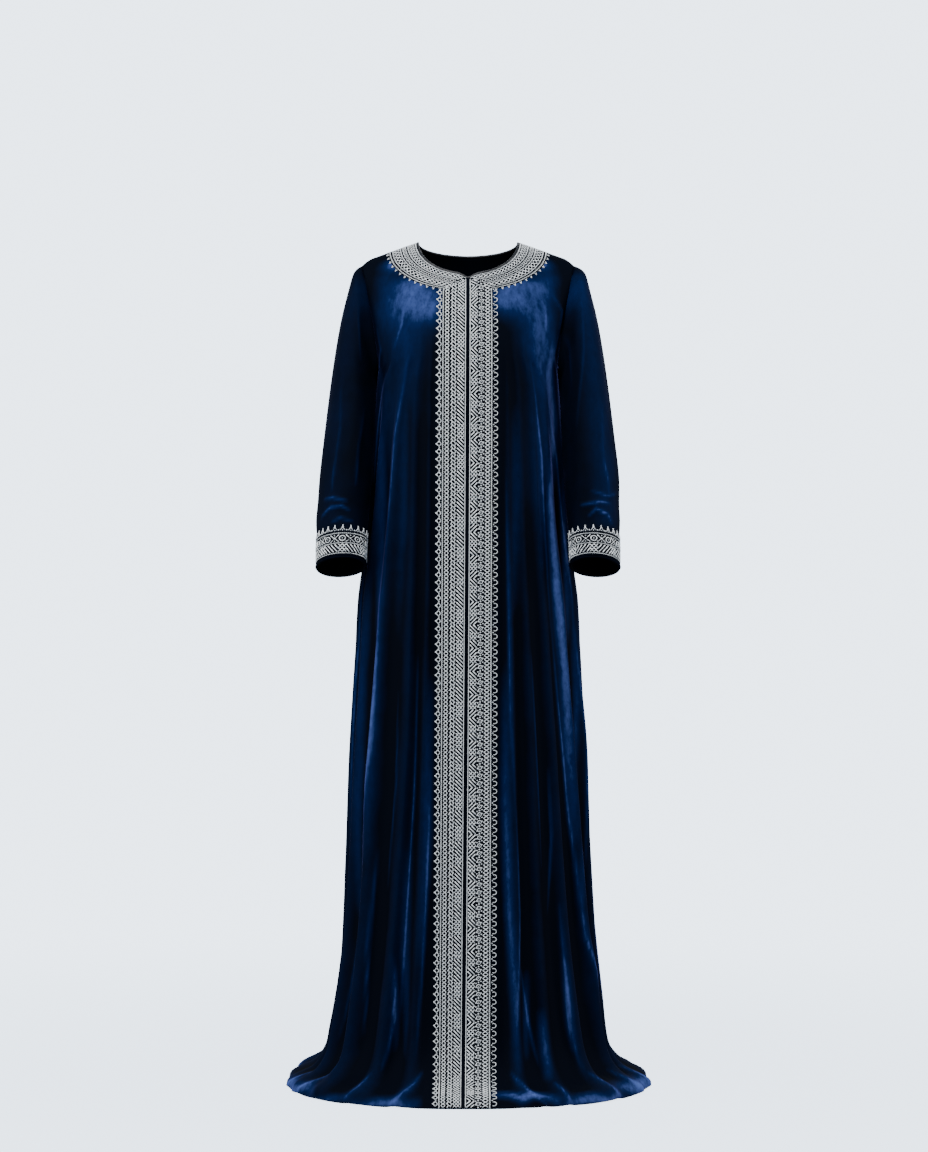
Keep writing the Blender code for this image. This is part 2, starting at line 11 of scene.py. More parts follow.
import bpy
import numpy as np
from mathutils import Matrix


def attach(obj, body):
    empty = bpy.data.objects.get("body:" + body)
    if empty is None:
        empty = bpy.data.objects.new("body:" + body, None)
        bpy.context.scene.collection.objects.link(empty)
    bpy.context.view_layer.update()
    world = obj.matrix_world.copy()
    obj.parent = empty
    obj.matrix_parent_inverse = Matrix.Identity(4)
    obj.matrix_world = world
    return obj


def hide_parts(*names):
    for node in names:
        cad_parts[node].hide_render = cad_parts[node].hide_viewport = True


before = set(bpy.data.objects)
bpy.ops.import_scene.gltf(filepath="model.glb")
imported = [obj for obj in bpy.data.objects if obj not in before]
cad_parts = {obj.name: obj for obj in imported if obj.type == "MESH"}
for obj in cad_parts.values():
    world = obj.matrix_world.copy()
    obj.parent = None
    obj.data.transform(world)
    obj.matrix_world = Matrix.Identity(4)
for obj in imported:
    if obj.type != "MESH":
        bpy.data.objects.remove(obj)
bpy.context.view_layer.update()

bl_info = {
    "name": "Velvet robe with silver stitching",
    "version": (1, 0, 0),
    "blender": (4, 5, 0),
    "location": "3D View > Sidebar > Robe",
    "description": "Builds a full-length velvet robe with stitched silver bands",
    "category": "Add Mesh",
}

MM = 0.001

# Sizes shared with the plain solids
FLOOR = -1.470
WALL = 0.002
BAND_WIDTH = 0.044
TOOTH_REACH = 0.056
EDGE_SHOWN = 0.002
CENTRE_LEAN = -0.009
LEAN_CURVE = 1.5
LEAN_REACH = 0.110
CHEST_HEIGHT = -0.230
NECK_HALF_WIDTH = 0.0895
SHOULDER_SLOPE = -0.35
TOP_HALF_WIDTH = 0.2035
ARMHOLE_INSET = 0.09
ARMHOLE_CURVE = 0.4
ROW_SWEEP = 2.5
SIDE_ROUNDNESS = 2.3
SHOULDER_ROUNDNESS = {"front": 1.6, "back": 1.9}
FACING = {"front": -1.0, "back": 1.0}
WEARER_SIDE = {"right": -1.0, "left": 1.0}

# Left between two cloths that meet at a seam; the plain solids stand further apart
SEAM_GAP = 0.000006

Ring = namedtuple("Ring", "height half_width front_depth back_depth fold lift")
RINGS = [
    Ring(FLOOR + WALL, 0.313, 0.312, 0.325, 0.004, 0.001),
    Ring(-1.461, 0.306, 0.303, 0.316, 0.006, 0.002),
    Ring(-1.449, 0.292, 0.286, 0.299, 0.010, 0.003),
    Ring(-1.434, 0.270, 0.261, 0.273, 0.015, 0.003),
    Ring(-1.405, 0.249, 0.238, 0.249, 0.019, 0.0),
    Ring(-1.360, 0.237, 0.222, 0.232, 0.021, 0.0),
    Ring(-1.290, 0.228, 0.210, 0.219, 0.020, 0.0),
    Ring(-1.200, 0.219, 0.198, 0.207, 0.018, 0.0),
    Ring(-1.090, 0.213, 0.186, 0.195, 0.016, 0.0),
    Ring(-0.980, 0.209, 0.175, 0.184, 0.0145, 0.0),
    Ring(-0.870, 0.205, 0.167, 0.175, 0.013, 0.0),
    Ring(-0.770, 0.199, 0.160, 0.167, 0.0115, 0.0),
    Ring(-0.680, 0.194, 0.156, 0.160, 0.010, 0.0),
    Ring(-0.590, 0.185, 0.152, 0.153, 0.008, 0.0),
    Ring(-0.490, 0.173, 0.148, 0.145, 0.007, 0.0),
    Ring(-0.390, 0.1665, 0.144, 0.137, 0.006, 0.0),
    Ring(-0.300, 0.160, 0.139, 0.130, 0.0042, 0.0),
    Ring(CHEST_HEIGHT, 0.158, 0.134, 0.125, 0.003, 0.0),
]
CHEST_ROW = len(RINGS) - 1

Yoke = namedtuple("Yoke", "reach front_drop back_drop roundness")
YOKES = [
    Yoke(0.1850, 0.0920, 0.0600, 0.55),
    Yoke(0.1680, 0.0875, 0.0530, 0.80),
    Yoke(0.1510, 0.0830, 0.0455, 1.00),
    Yoke(0.1395, 0.0750, 0.0385, 1.00),
    Yoke(NECK_HALF_WIDTH, 0.0625, 0.0200, 1.00),
]
# The soft cloth also rounds off the shoulder tip, by a few millimetres
SHOULDER_ROUND_FROM = 0.165
SHOULDER_ROUND_TO = 0.185
SHOULDER_ROUND_DROP = 0.0066
# Where the fronts meet at the neck the cloth dips in a small notch: its depth, its half
# width, the yoke row where it begins and the power by which it grows
NECK_NOTCH = (0.0065, 0.011, 2.0, 1.5)

ARMHOLE_ROWS = 9
TIP_ROW = CHEST_ROW + ARMHOLE_ROWS
# The row that the outer edge of the neck band lies on, and the lowest row that its teeth use
NECK_BAND_ROW = TIP_ROW + 3
NECK_TEETH_ROW = TIP_ROW + 1.5
FOLD_FADE = 0.75

Crest = namedtuple("Crest", "chest hip knee hem depth")
CRESTS = {
    ("front", "right"): [
        Crest(0.05, 0.05, 0.07, 0.11, 0.80),
        Crest(0.20, 0.19, 0.19, 0.29, 1.00),
        Crest(0.36, 0.43, 0.48, 0.52, 1.15),
        Crest(0.60, 0.68, 0.68, 0.72, 1.05),
        Crest(0.78, 0.84, 0.86, 0.90, 0.90),
    ],
    ("front", "left"): [
        Crest(0.06, 0.07, 0.08, 0.08, 0.85),
        Crest(0.18, 0.19, 0.21, 0.24, 0.75),
        Crest(0.31, 0.34, 0.38, 0.45, 0.90),
        Crest(0.46, 0.52, 0.57, 0.68, 1.20),
        Crest(0.72, 0.78, 0.80, 0.87, 1.00),
    ],
    ("back", "right"): [
        Crest(0.10, 0.12, 0.14, 0.15, 0.90),
        Crest(0.28, 0.30, 0.32, 0.33, 1.10),
        Crest(0.45, 0.48, 0.51, 0.53, 0.80),
        Crest(0.64, 0.66, 0.68, 0.70, 1.10),
        Crest(0.78, 0.82, 0.86, 0.88, 0.90),
    ],
    ("back", "left"): [
        Crest(0.07, 0.09, 0.11, 0.12, 1.10),
        Crest(0.24, 0.26, 0.28, 0.31, 0.90),
        Crest(0.43, 0.45, 0.47, 0.50, 1.10),
        Crest(0.62, 0.64, 0.66, 0.69, 0.85),
        Crest(0.81, 0.83, 0.85, 0.87, 1.00),
    ],
}
CREST_HEIGHTS = {"chest": -0.23, "hip": -0.59, "knee": -0.87, "hem": -1.40}
CREST_SHARPNESS = 1.5
CREST_REST = 0.30
REST_BLEND = 0.3
BAND_FADE = 0.5
CENTRE_BACK_FOLD = 0.90
CENTRE_BACK_CURVE = 2.6
# Levels smoothed on each side of the chest row, and how many times
CHEST_SMOOTHING = (14, 60)

Section = namedtuple("Section", "height outer inner front back rise_outer rise_front toe_in")
SECTIONS = [
    Section(-0.150, 0.1965, 0.1650, -0.058, 0.056, 0.099, 0.0000, 0.000),
    Section(-0.172, 0.2060, 0.1667, -0.067, 0.062, 0.092, 0.0000, 0.001),
    Section(-0.215, 0.2190, 0.1670, -0.077, 0.062, 0.082, 0.0000, 0.003),
    Section(-0.265, 0.2310, 0.1665, -0.085, 0.056, 0.062, 0.0000, 0.006),
    Section(-0.318, 0.2410, 0.1668, -0.093, 0.046, 0.040, 0.0010, 0.007),
    Section(-0.370, 0.2490, 0.1680, -0.103, 0.032, 0.022, 0.0040, 0.007),
    Section(-0.420, 0.2555, 0.1695, -0.113, 0.015, 0.009, 0.0090, 0.007),
    Section(-0.460, 0.2600, 0.1712, -0.121, 0.000, 0.003, 0.0120, 0.007),
    Section(-0.488, 0.2630, 0.1725, -0.127, -0.012, 0.001, 0.0150, 0.006),
    Section(-0.511, 0.2615, 0.1737, -0.132, -0.022, 0.000, 0.0160, 0.006),
    Section(-0.523, 0.2620, 0.1745, -0.135, -0.028, 0.000, 0.0165, 0.006),
    Section(-0.562, 0.2615, 0.1758, -0.143, -0.047, 0.000, 0.0170, 0.006),
    Section(-0.566, 0.2612, 0.1760, -0.1437, -0.049, 0.000, 0.0170, 0.006),
]
CUFF_TOOTH_RING = 10
CUFF_CORD_RING = 11
CUFF_FOOT_RING = 12

SleeveFold = namedtuple("SleeveFold", "turn first last depth")
SLEEVE_FOLDS = [
    SleeveFold(40.0, 2, 6, 0.0035),
    SleeveFold(100.0, 3, 8, 0.0040),
    SleeveFold(-60.0, 2, 7, 0.0035),
    SleeveFold(-120.0, 4, 9, 0.0030),
]
SLEEVE_FOLD_HALF_WIDTH = 30.0

# How fine the draped cloth is
CURVE_POINTS = 241
ROW_PITCH = 0.0065
ARMHOLE_STEPS = 6
YOKE_STEPS = 8
NEAR_PITCH = {"front": 0.002, "back": 0.004}
FOLD_COLUMNS = {"front": 100, "back": 68}
SLEEVE_RING_PITCH = 0.0045

# Creases of the fronts and back: at each station the distance down in millimetres and the
# share, in hundredths, of the way from the band to the side seam. Then the crease's depth
# and half width in millimetres
CREASES = {
    ("front", "right"): [
        ([(215, 69), (300, 72), (415, 77)], 2.6, 7.0),
        ([(190, 36), (330, 40), (470, 43), (640, 43)], 2.4, 7.5),
        ([(580, 45), (870, 47), (1150, 57), (1380, 66)], 4.2, 9.0),
        ([(700, 13), (950, 14), (1180, 17), (1330, 18)], 3.4, 8.5),
        ([(900, 1), (1100, 3), (1270, 5), (1400, 7)], 2.4, 8.0),
        ([(1240, 22), (1330, 21), (1420, 24)], 3.2, 10.0),
        ([(760, 30), (930, 28), (1120, 33)], 1.8, 8.0),
        ([(500, 78), (760, 83), (1050, 84)], 3.0, 8.0),
        ([(1040, 40), (1210, 43), (1370, 41)], 2.6, 8.0),
        ([(1180, 78), (1300, 80), (1430, 84)], 3.4, 9.0),
        ([(100, 34), (135, 42), (180, 60)], 1.5, 8.0),
        ([(128, 80), (170, 84), (240, 86)], 1.8, 6.0),
        # Where the cloth breaks and ripples on the floor
        ([(1415, 3), (1455, 8), (1505, 16)], 5.0, 9.0),
        ([(1420, 28), (1460, 31), (1500, 36)], 4.0, 12.0),
        ([(1415, 50), (1460, 60), (1500, 70)], 4.5, 10.0),
        ([(1430, 74), (1465, 82), (1505, 88)], 4.5, 11.0),
    ],
    ("front", "left"): [
        ([(200, 41), (370, 43), (590, 43), (680, 45)], 2.6, 7.5),
        ([(640, 45), (800, 49), (980, 54), (1180, 61)], 3.6, 8.0),
        ([(1060, 57), (1200, 62), (1350, 73), (1440, 78)], 4.2, 9.0),
        ([(220, 55), (370, 66), (520, 71), (700, 75)], 2.8, 7.0),
        ([(660, 75), (860, 82), (1090, 79)], 3.2, 7.5),
        ([(390, 5), (620, 7), (820, 8), (1010, 11)], 2.2, 7.5),
        ([(960, 11), (1150, 13), (1370, 9)], 3.0, 9.0),
        ([(1240, 14), (1320, 17), (1410, 21)], 2.8, 8.5),
        ([(1130, 40), (1250, 41), (1350, 41), (1440, 43)], 3.6, 9.0),
        ([(700, 25), (880, 27), (1080, 30)], 2.0, 8.0),
        ([(900, 36), (1020, 37), (1160, 33)], 2.2, 8.0),
        ([(80, 42), (105, 50), (150, 62)], 1.6, 6.0),
        ([(70, 60), (100, 72), (140, 82)], 1.8, 6.0),
        ([(128, 80), (180, 83), (250, 84)], 1.6, 6.0),
        # Where the cloth breaks and ripples on the floor
        ([(1415, 6), (1470, 13), (1508, 20)], 5.0, 9.0),
        ([(1440, 25), (1470, 27), (1500, 28)], 3.5, 9.0),
        ([(1425, 44), (1465, 50), (1505, 54)], 4.5, 11.0),
        ([(1430, 62), (1470, 68), (1505, 76)], 4.5, 10.0),
        ([(1430, 84), (1465, 87), (1500, 90)], 4.0, 11.0),
    ],
    ("back", "right"): [
        ([(210, 24), (420, 28), (640, 30)], 2.4, 8.0),
        ([(560, 31), (820, 33), (1090, 34), (1330, 31)], 3.8, 9.0),
        ([(260, 60), (480, 64), (760, 67), (960, 68)], 2.8, 7.5),
        ([(900, 68), (1140, 69), (1410, 74)], 4.0, 9.0),
        ([(800, 11), (1060, 14), (1360, 13)], 3.2, 8.5),
        ([(540, 85), (900, 88), (1210, 87)], 2.8, 8.0),
        ([(980, 50), (1210, 52), (1420, 50)], 2.8, 8.5),
        ([(90, 30), (150, 42), (230, 50)], 1.8, 8.0),
        # Where the cloth breaks and ripples on the floor
        ([(1420, 12), (1465, 16), (1510, 15)], 4.5, 12.0),
        ([(1425, 36), (1470, 42), (1510, 44)], 5.0, 11.0),
        ([(1425, 66), (1465, 72), (1510, 80)], 4.5, 11.0),
    ],
    ("back", "left"): [
        ([(240, 22), (500, 26), (780, 27)], 2.6, 8.0),
        ([(700, 27), (990, 30), (1270, 33), (1420, 30)], 3.8, 9.0),
        ([(230, 44), (430, 45), (600, 46)], 2.2, 7.5),
        ([(520, 47), (860, 48), (1160, 51), (1400, 49)], 3.6, 8.5),
        ([(450, 80), (730, 84), (1010, 85)], 3.0, 8.0),
        ([(940, 83), (1190, 86), (1430, 91)], 3.6, 9.0),
        ([(740, 8), (960, 10), (1220, 12)], 2.6, 8.0),
        ([(1050, 66), (1240, 68), (1410, 66)], 3.0, 8.5),
        ([(80, 36), (130, 44), (210, 56)], 1.8, 8.0),
        # Where the cloth breaks and ripples on the floor
        ([(1420, 6), (1465, 10), (1510, 16)], 4.5, 11.0),
        ([(1425, 36), (1465, 38), (1510, 36)], 5.0, 12.0),
        ([(1430, 58), (1470, 64), (1510, 70)], 4.5, 10.0),
        ([(1425, 84), (1465, 82), (1505, 86)], 4.0, 11.0),
    ],
}

# Creases of the sleeves: at each station the height below the neck in millimetres and the
# turn in degrees, where 0 is the outer side and 90 the front. Then the crease's depth and
# half width in millimetres
SLEEVE_CREASES = {
    "right": [
        ([(80, 58), (130, 72), (215, 98)], 2.0, 6.0),
        ([(110, 84), (150, 110), (185, 132)], 2.0, 5.5),
        ([(240, 50), (330, 62), (440, 55)], 2.2, 7.0),
        ([(290, 112), (360, 104), (430, 108)], 2.0, 6.0),
        ([(452, 34), (449, 60), (455, 96)], 2.2, 4.5),
        ([(485, 30), (466, 58), (463, 82), (472, 104)], 2.4, 4.5),
        ([(492, 58), (484, 80), (490, 112)], 1.8, 4.0),
        ([(150, -60), (260, -78), (360, -70)], 2.2, 7.0),
        ([(330, -110), (420, -102), (470, -70)], 2.0, 6.0),
        ([(440, -50), (455, -88), (448, -130)], 2.2, 4.5),
        ([(475, -20), (482, -64), (470, -105)], 2.2, 4.5),
    ],
    "left": [
        ([(88, 54), (195, 74), (330, 104)], 2.4, 6.0),
        ([(120, 96), (180, 108), (260, 112)], 1.8, 6.0),
        ([(280, 44), (380, 56), (450, 44)], 2.2, 7.0),
        ([(459, 42), (456, 68), (462, 116)], 2.4, 4.5),
        ([(482, 100), (468, 80), (478, 54), (496, 40)], 2.4, 4.5),
        ([(440, 20), (446, 50), (436, 88)], 1.6, 4.0),
        ([(170, -70), (250, -58), (370, -74)], 2.2, 7.0),
        ([(300, -120), (400, -108), (460, -84)], 2.0, 6.0),
        ([(446, -36), (458, -80), (450, -122)], 2.2, 4.5),
        ([(480, -14), (486, -58), (474, -98)], 2.0, 4.5),
    ],
}
# Radius that turns the degrees into distances round the sleeve
SLEEVE_TURN_RADIUS = 0.055
# Rings over which the creases of a sleeve grow, from the armhole down
SLEEVE_JOIN_RINGS = 2.0
# Along its length a crease swells as this power of a half wave, and it fades out over this
# distance from the side seam
CREASE_END_CURVE = 0.7
SEAM_FADE = 0.012

# The cloth is pressed together between the arm and the side, so the sides swell out there:
# height of the middle, half length, reach from the side seam, and swell
SIDE_SWELL = (-0.345, 0.165, 0.040, 0.0055)
# The inner side of each sleeve ring is tucked in by the distance in its place of the list
SLEEVE_TUCK = [0.0, 0.0070, 0.0082, 0.0078, 0.0058, 0.0042, 0.0032, 0.0020, 0.0012]
TUCK_CURVE = 1.5
# How much further out each sleeve stands than its plain solid, the height where this ends
# and the way over which it fades
SLEEVE_REACH = {"right": 0.0022, "left": 0.0068}
SLEEVE_REACH_END = -0.475
SLEEVE_REACH_FADE = 0.05
# How far the skirt stands in from its plain solid at the side seams, in millimetres, at each
# height, and how far from the seam this is felt
PULL_HEIGHTS = [-1.458, -1.435, -1.41, -1.37, -1.33, -1.29, -1.24, -1.18, -1.10, -1.00, -0.80,
                -0.70, -0.62]
SIDE_PULL = {"right": [0.0, 13.0, 11.0, 9.5, 11.5, 13.0, 13.5, 10.5, 8.0, 6.8, 5.3, 4.5, 0.0],
             "left": [0.0, 11.0, 14.5, 13.0, 11.0, 10.5, 10.0, 9.0, 7.8, 6.2, 6.5, 5.0, 0.0]}
PULL_REACH = 0.11
# On the floor the cloth rolls outward: height of the middle, half height, reach
POOL_ROLL = (-1.453, 0.012, 0.008)

# Painted highlights: soft patches where the light falls on the chest, shoulders and back: millimetres
# down, share in hundredths of the way from the band to the side seam, reach down and across in
# millimetres, and strength in hundredths
PAINTED_HIGHLIGHT_PATCHES = {
    ("front", "right"): [
        (76, 22, 30, 40, 52),
        (110, 16, 32, 38, 50),
        (96, 48, 42, 40, 40),
        (150, 42, 52, 40, 22),
        (210, 34, 70, 32, 18),
        (52, 62, 20, 28, 12),
        (56, 30, 20, 40, 38),
        (104, 3, 30, 20, 40),
        (34, 80, 18, 24, 12),
        (-2, 92, 22, 34, 78),
        (300, 52, 120, 50, 16),
    ],
    ("front", "left"): [
        (78, 14, 28, 36, 50),
        (102, 16, 28, 34, 38),
        (106, 46, 36, 34, 38),
        (156, 48, 50, 36, 36),
        (64, 52, 24, 32, 40),
        (56, 30, 20, 38, 44),
        (94, 2, 24, 18, 40),
        (36, 76, 18, 28, 28),
        (-4, 88, 21, 34, 86),
        (200, 60, 64, 24, 34),
        (330, 46, 150, 44, 18),
    ],
    ("back", "right"): [
        (92, 30, 40, 60, 36),
        (140, 46, 60, 44, 26),
        (230, 36, 90, 46, 20),
    ],
    ("back", "left"): [
        (100, 40, 40, 60, 34),
        (150, 26, 54, 40, 26),
        (240, 44, 90, 42, 22),
    ],
}

# Painted highlights: long swathes along the tops of the folds: stations as for the creases, then
# the half width in millimetres and the strength in hundredths
PAINTED_FOLD_SWATHES = {
    ("front", "right"): [
        ([(104, 72), (272, 68), (410, 58), (628, 50), (831, 46), (1071, 48)], 13, 36),
        ([(560, 62), (736, 65), (938, 64), (1136, 60), (1290, 49)], 9, 28),
        ([(160, 38), (336, 31), (490, 30), (700, 31)], 11, 22),
        ([(740, 2), (900, 3), (1048, 3), (1240, 6)], 9, 34),
        ([(1040, 16), (1220, 17), (1400, 14)], 8, 32),
        ([(1220, 23), (1390, 19)], 6, 30),
        ([(1180, 76), (1330, 80), (1440, 84)], 8, 30),
        ([(1494, 2), (1500, 18), (1502, 34)], 11, 60),
        ([(1496, 30), (1500, 46), (1502, 64)], 9, 44),
        ([(1484, 52), (1496, 78), (1500, 104)], 15, 76),
    ],
    ("front", "left"): [
        ([(110, 50), (244, 59), (336, 57), (450, 51), (591, 51), (735, 55), (872, 55),
          (1040, 58)], 10, 66),
        ([(190, 46), (390, 41), (570, 38)], 9, 36),
        ([(110, 60), (216, 66), (300, 63), (380, 58), (440, 55)], 13, 78),
        ([(130, 84), (260, 80), (360, 78)], 11, 40),
        ([(400, 76), (540, 70), (700, 68)], 10, 44),
        ([(640, 74), (792, 75), (938, 70), (1140, 60)], 8, 44),
        ([(1060, 66), (1238, 74), (1340, 77)], 8, 42),
        ([(270, 15), (450, 15), (650, 13)], 9, 24),
        ([(720, 4), (959, 4), (1136, 6), (1308, 9), (1430, 10)], 9, 48),
        ([(1240, 18), (1400, 16)], 6, 32),
        ([(1310, 24), (1440, 24)], 8, 44),
        ([(1230, 41), (1390, 42)], 7, 32),
        ([(1472, -4), (1480, 12), (1494, 26)], 10, 76),
        ([(1500, 22), (1496, 40), (1500, 60)], 12, 74),
        ([(1478, 50), (1492, 76), (1498, 104)], 17, 78),
    ],
    ("back", "right"): [
        ([(230, 30), (520, 34), (820, 34)], 11, 30),
        ([(400, 66), (760, 70), (1100, 70)], 10, 40),
        ([(960, 33), (1200, 34), (1400, 32)], 9, 42),
        ([(1494, 4), (1500, 30), (1498, 48)], 11, 58),
        ([(1488, 50), (1500, 74), (1502, 98)], 12, 62),
    ],
    ("back", "left"): [
        ([(260, 24), (480, 27), (740, 28)], 11, 34),
        ([(540, 48), (860, 50), (1240, 51)], 9, 40),
        ([(900, 84), (1180, 86), (1400, 90)], 9, 38),
        ([(1492, 2), (1502, 22), (1500, 40)], 10, 60),
        ([(1486, 44), (1500, 66), (1498, 94)], 12, 56),
    ],
}

# How bright the tops of the folds, the raised creases and the fine line along each crease are
# painted beside the painted highlight patches, and how wide that painted line is
FOLD_PAINTED_LIGHT = 0.14
RIDGE_PAINTED_GLOW = 0.10
LINE_PAINTED_HIGHLIGHT = 0.42
LINE_HALF_WIDTH = 0.0024
# Folds of this depth take the full painted highlight, and the usual painted highlight of a fold is taken
# off everywhere, which paints shade between the fold tops
FULL_FOLD = 0.008
MEAN_FOLD = 0.35
# Creases of this depth in millimetres take the full painted highlight: on the panels, and on the
# sleeves for the painted line and for the painted glow
FULL_CREASE = 3.0
FULL_SLEEVE_LINE = 2.4
FULL_SLEEVE_GLOW = 2.2

# Painted sheen down the front of each sleeve: its strength, round which turn in degrees, and how
# much more at the cap: height of the middle, half height, more
SLEEVE_PAINTED_SHEEN = {"right": 0.05, "left": 0.17}
SLEEVE_PAINTED_SHEEN_TURN = 50.0
SLEEVE_CAP = (-0.085, 0.04, 0.9)
# The painted highlights of the creases are brightest just above the cuff: height where this
# begins, the way over which it grows, and the least share of it
SLEEVE_LOW_PAINTED_HIGHLIGHT = (-0.36, 0.06, 0.25)

# Heights above the cloth, in millimetres: the foot of all stitches, the ridges of a thread,
# of the edge cord, of a rope and of the net, the top of a bead, and the ground
STITCH_FOOT = 0.1
THREAD_RIDGE = 1.4
CORD_RIDGE = 1.0
ROPE_RIDGE = 1.6
NET_RIDGE = 1.3
BEAD_TOP = 1.6
GROUND_LIFT = 0.45
# All this is lower at the neck, where taller threads would hide the ground between them
NECK_RISE = 0.7
# The ground's thickness in metres, and its steps along and across in millimetres
GROUND_THICKNESS = 0.0007
GROUND_STEPS = (7.0, 5.0)
# How far the ridge of a thread stops short of its ends, as a share of the thread's width
THREAD_TAPER = 0.3

NECK_BAND_WIDTH = 0.050
# Width of one yoke row of cloth below the neck band
NECK_ROW_STEP = 0.012

# Pitches of the stitches in millimetres. The real bars are 4.4 mm apart; they are drawn
# 6.6 mm apart so that they stay apart
TOOTH_PITCH = 13.2
NECK_TOOTH_PITCH = 11.5
CUFF_TOOTH_PITCH = 14.0
BAR_PITCH = 6.6
ROPE_PITCH = 3.3
# The real netting is 4.5 mm; at the neck it is drawn at 9.4 mm so that its eyes stay dark
NECK_NET_PITCH = 9.4

# Rows of the bands, in millimetres from their edge: low and high, or the middle
FRONT_BARS = (5.6, 17.6)
FRONT_NET = (5.8, 17.6)
FRONT_LEFT_NET = (30.4, 39.6)
FRONT_EDGE_CORD = 4.0
FRONT_ROSETTE = 23.8
FRONT_CHAIN = 35.0
FRONT_CORD = 42.0
NECK_CORDS = (2.0, 15.4, 28.4, 41.6, 46.6)
NECK_NETS = ((4.2, 13.4), (30.4, 39.6))
NECK_ROSETTE = 22.0
NECK_TEETH = (49.4, 51.8, 52.2)
CUFF_CORDS = (1.7, 19.4, 36.4)
CUFF_BARS = (4.0, 17.6)
CUFF_ROSETTE = 27.6

# The rolled neck edge: sides round it, then its twist: a share of the radius, and radians of
# the wave in each metre
PIPING_SIDES = 12
PIPING_TWIST = (0.05, 1900.0)

# The panel halves in order round the neck, and whether each runs against its columns
NECK_ROUND = [("front", "right", False), ("back", "right", True), ("back", "left", False),
              ("front", "left", True)]

# The pale floor: its radius, where it begins to fade into the backdrop and where it is gone,
# and how clear it is in the middle
FLOOR_RADIUS = 9.0
FLOOR_FADE = (0.3, 2.8, 0.78)

# What the camera looks at: distance from the centre and height
CAMERA_AIM = (-0.007, -0.583)

# Soft boxes: place, what they point at, size and power in watts
LAMPS = [
    ("key_above_front", (-0.6, -2.6, 2.4), (0.0, 0.0, -0.45), (2.4, 1.6), 235.0),
    ("side_left", (-3.0, -0.6, 0.3), (0.0, 0.0, -0.7), (0.9, 2.4), 60.0),
    ("side_right", (3.0, -0.4, 0.3), (0.0, 0.0, -0.7), (0.9, 2.4), 70.0),
    ("back_fill", (0.4, 3.0, 1.4), (0.0, 0.0, -0.6), (2.0, 1.4), 45.0),
]

STEPS = ["add_fronts", "add_back", "add_sleeves", "add_piping", "add_front_bands", "add_neck_band",
         "add_cuff_bands", "declare_sheets", "add_stage"]


def spline(knots, places):
    """Smooth curve through evenly numbered knots, read at fractional places."""
    knots = np.asarray(knots, dtype=float)
    places = np.atleast_1d(places).astype(float)
    count = len(knots)
    bends = np.zeros_like(knots)
    matrix = 4.0 * np.eye(count - 2) + np.eye(count - 2, k=1) + np.eye(count - 2, k=-1)
    second = 6.0 * (knots[2:] - 2.0 * knots[1:-1] + knots[:-2])
    bends[1:-1] = np.linalg.solve(matrix, second.reshape(count - 2, -1)).reshape(second.shape)
    low = np.clip(np.floor(places).astype(int), 0, count - 2)
    after = (places - low).reshape((-1,) + (1,) * (knots.ndim - 1))
    before = 1.0 - after
    bend = (before ** 3 - before) * bends[low] + (after ** 3 - after) * bends[low + 1]
    return before * knots[low] + after * knots[low + 1] + bend / 6.0


def unit(vectors):
    """Vectors scaled to length one."""
    return vectors / np.linalg.norm(vectors, axis=-1, keepdims=True)


def running(points):
    """Distance run along a line of points."""
    steps = np.linalg.norm(np.diff(points, axis=0), axis=-1)
    return np.concatenate([np.zeros((1,) + steps.shape[1:]), np.cumsum(steps, axis=0)])


def shoulder_height(x):
    """Height of the shoulder line at a distance from the centre."""
    past = np.clip((x - SHOULDER_ROUND_FROM) / (SHOULDER_ROUND_TO - SHOULDER_ROUND_FROM), 0.0, None)
    return SHOULDER_SLOPE * (x - NECK_HALF_WIDTH) - SHOULDER_ROUND_DROP * past ** 2


def armhole_point(share_up):
    """Front view of the armhole: distance out and height, from underarm to shoulder tip."""
    width = RINGS[-1].half_width + (TOP_HALF_WIDTH - RINGS[-1].half_width) * share_up
    x = width * (1.0 - ARMHOLE_INSET * share_up ** ARMHOLE_CURVE)
    return x, CHEST_HEIGHT + share_up * (shoulder_height(x) - CHEST_HEIGHT)


def upper_depth(x, z, face):
    """Depth of the chest or upper back behind a point of its front view."""
    share_up = np.clip((z - CHEST_HEIGHT) / (shoulder_height(x) - CHEST_HEIGHT), 0.0, 1.0)
    width = RINGS[-1].half_width + (TOP_HALF_WIDTH - RINGS[-1].half_width) * share_up
    reach = np.clip(x / width, 0.0, 1.0)
    depth = getattr(RINGS[-1], face + "_depth")
    round_side = (1.0 - reach ** SIDE_ROUNDNESS) ** (1.0 / SIDE_ROUNDNESS)
    top = SHOULDER_ROUNDNESS[face]
    return FACING[face] * depth * round_side * (1.0 - share_up ** top) ** (1.0 / top)


@functools.lru_cache(maxsize=None)
def armhole_shares(face):
    """Heights, as shares, that divide one half of the armhole evenly by its length."""
    share = np.linspace(0.0, 1.0, CURVE_POINTS) ** 2
    x, z = armhole_point(share)
    run = running(np.column_stack([x, upper_depth(x, z, face), z]))
    return np.interp(np.linspace(0.0, run[-1], ARMHOLE_ROWS + 1), run, share)


def upper_curve(reach, start, end, roundness, face):
    """A row above the chest, from the centre line up to the armhole or shoulder seam."""
    turn = np.linspace(0.0, math.pi / 2, CURVE_POINTS)
    x = reach * np.sin(turn)
    rise = roundness * (1.0 - np.cos(turn)) + (1.0 - roundness) * np.sin(turn) ** ROW_SWEEP
    z = start + (end - start) * rise
    return np.column_stack([x, upper_depth(x, z, face), z])


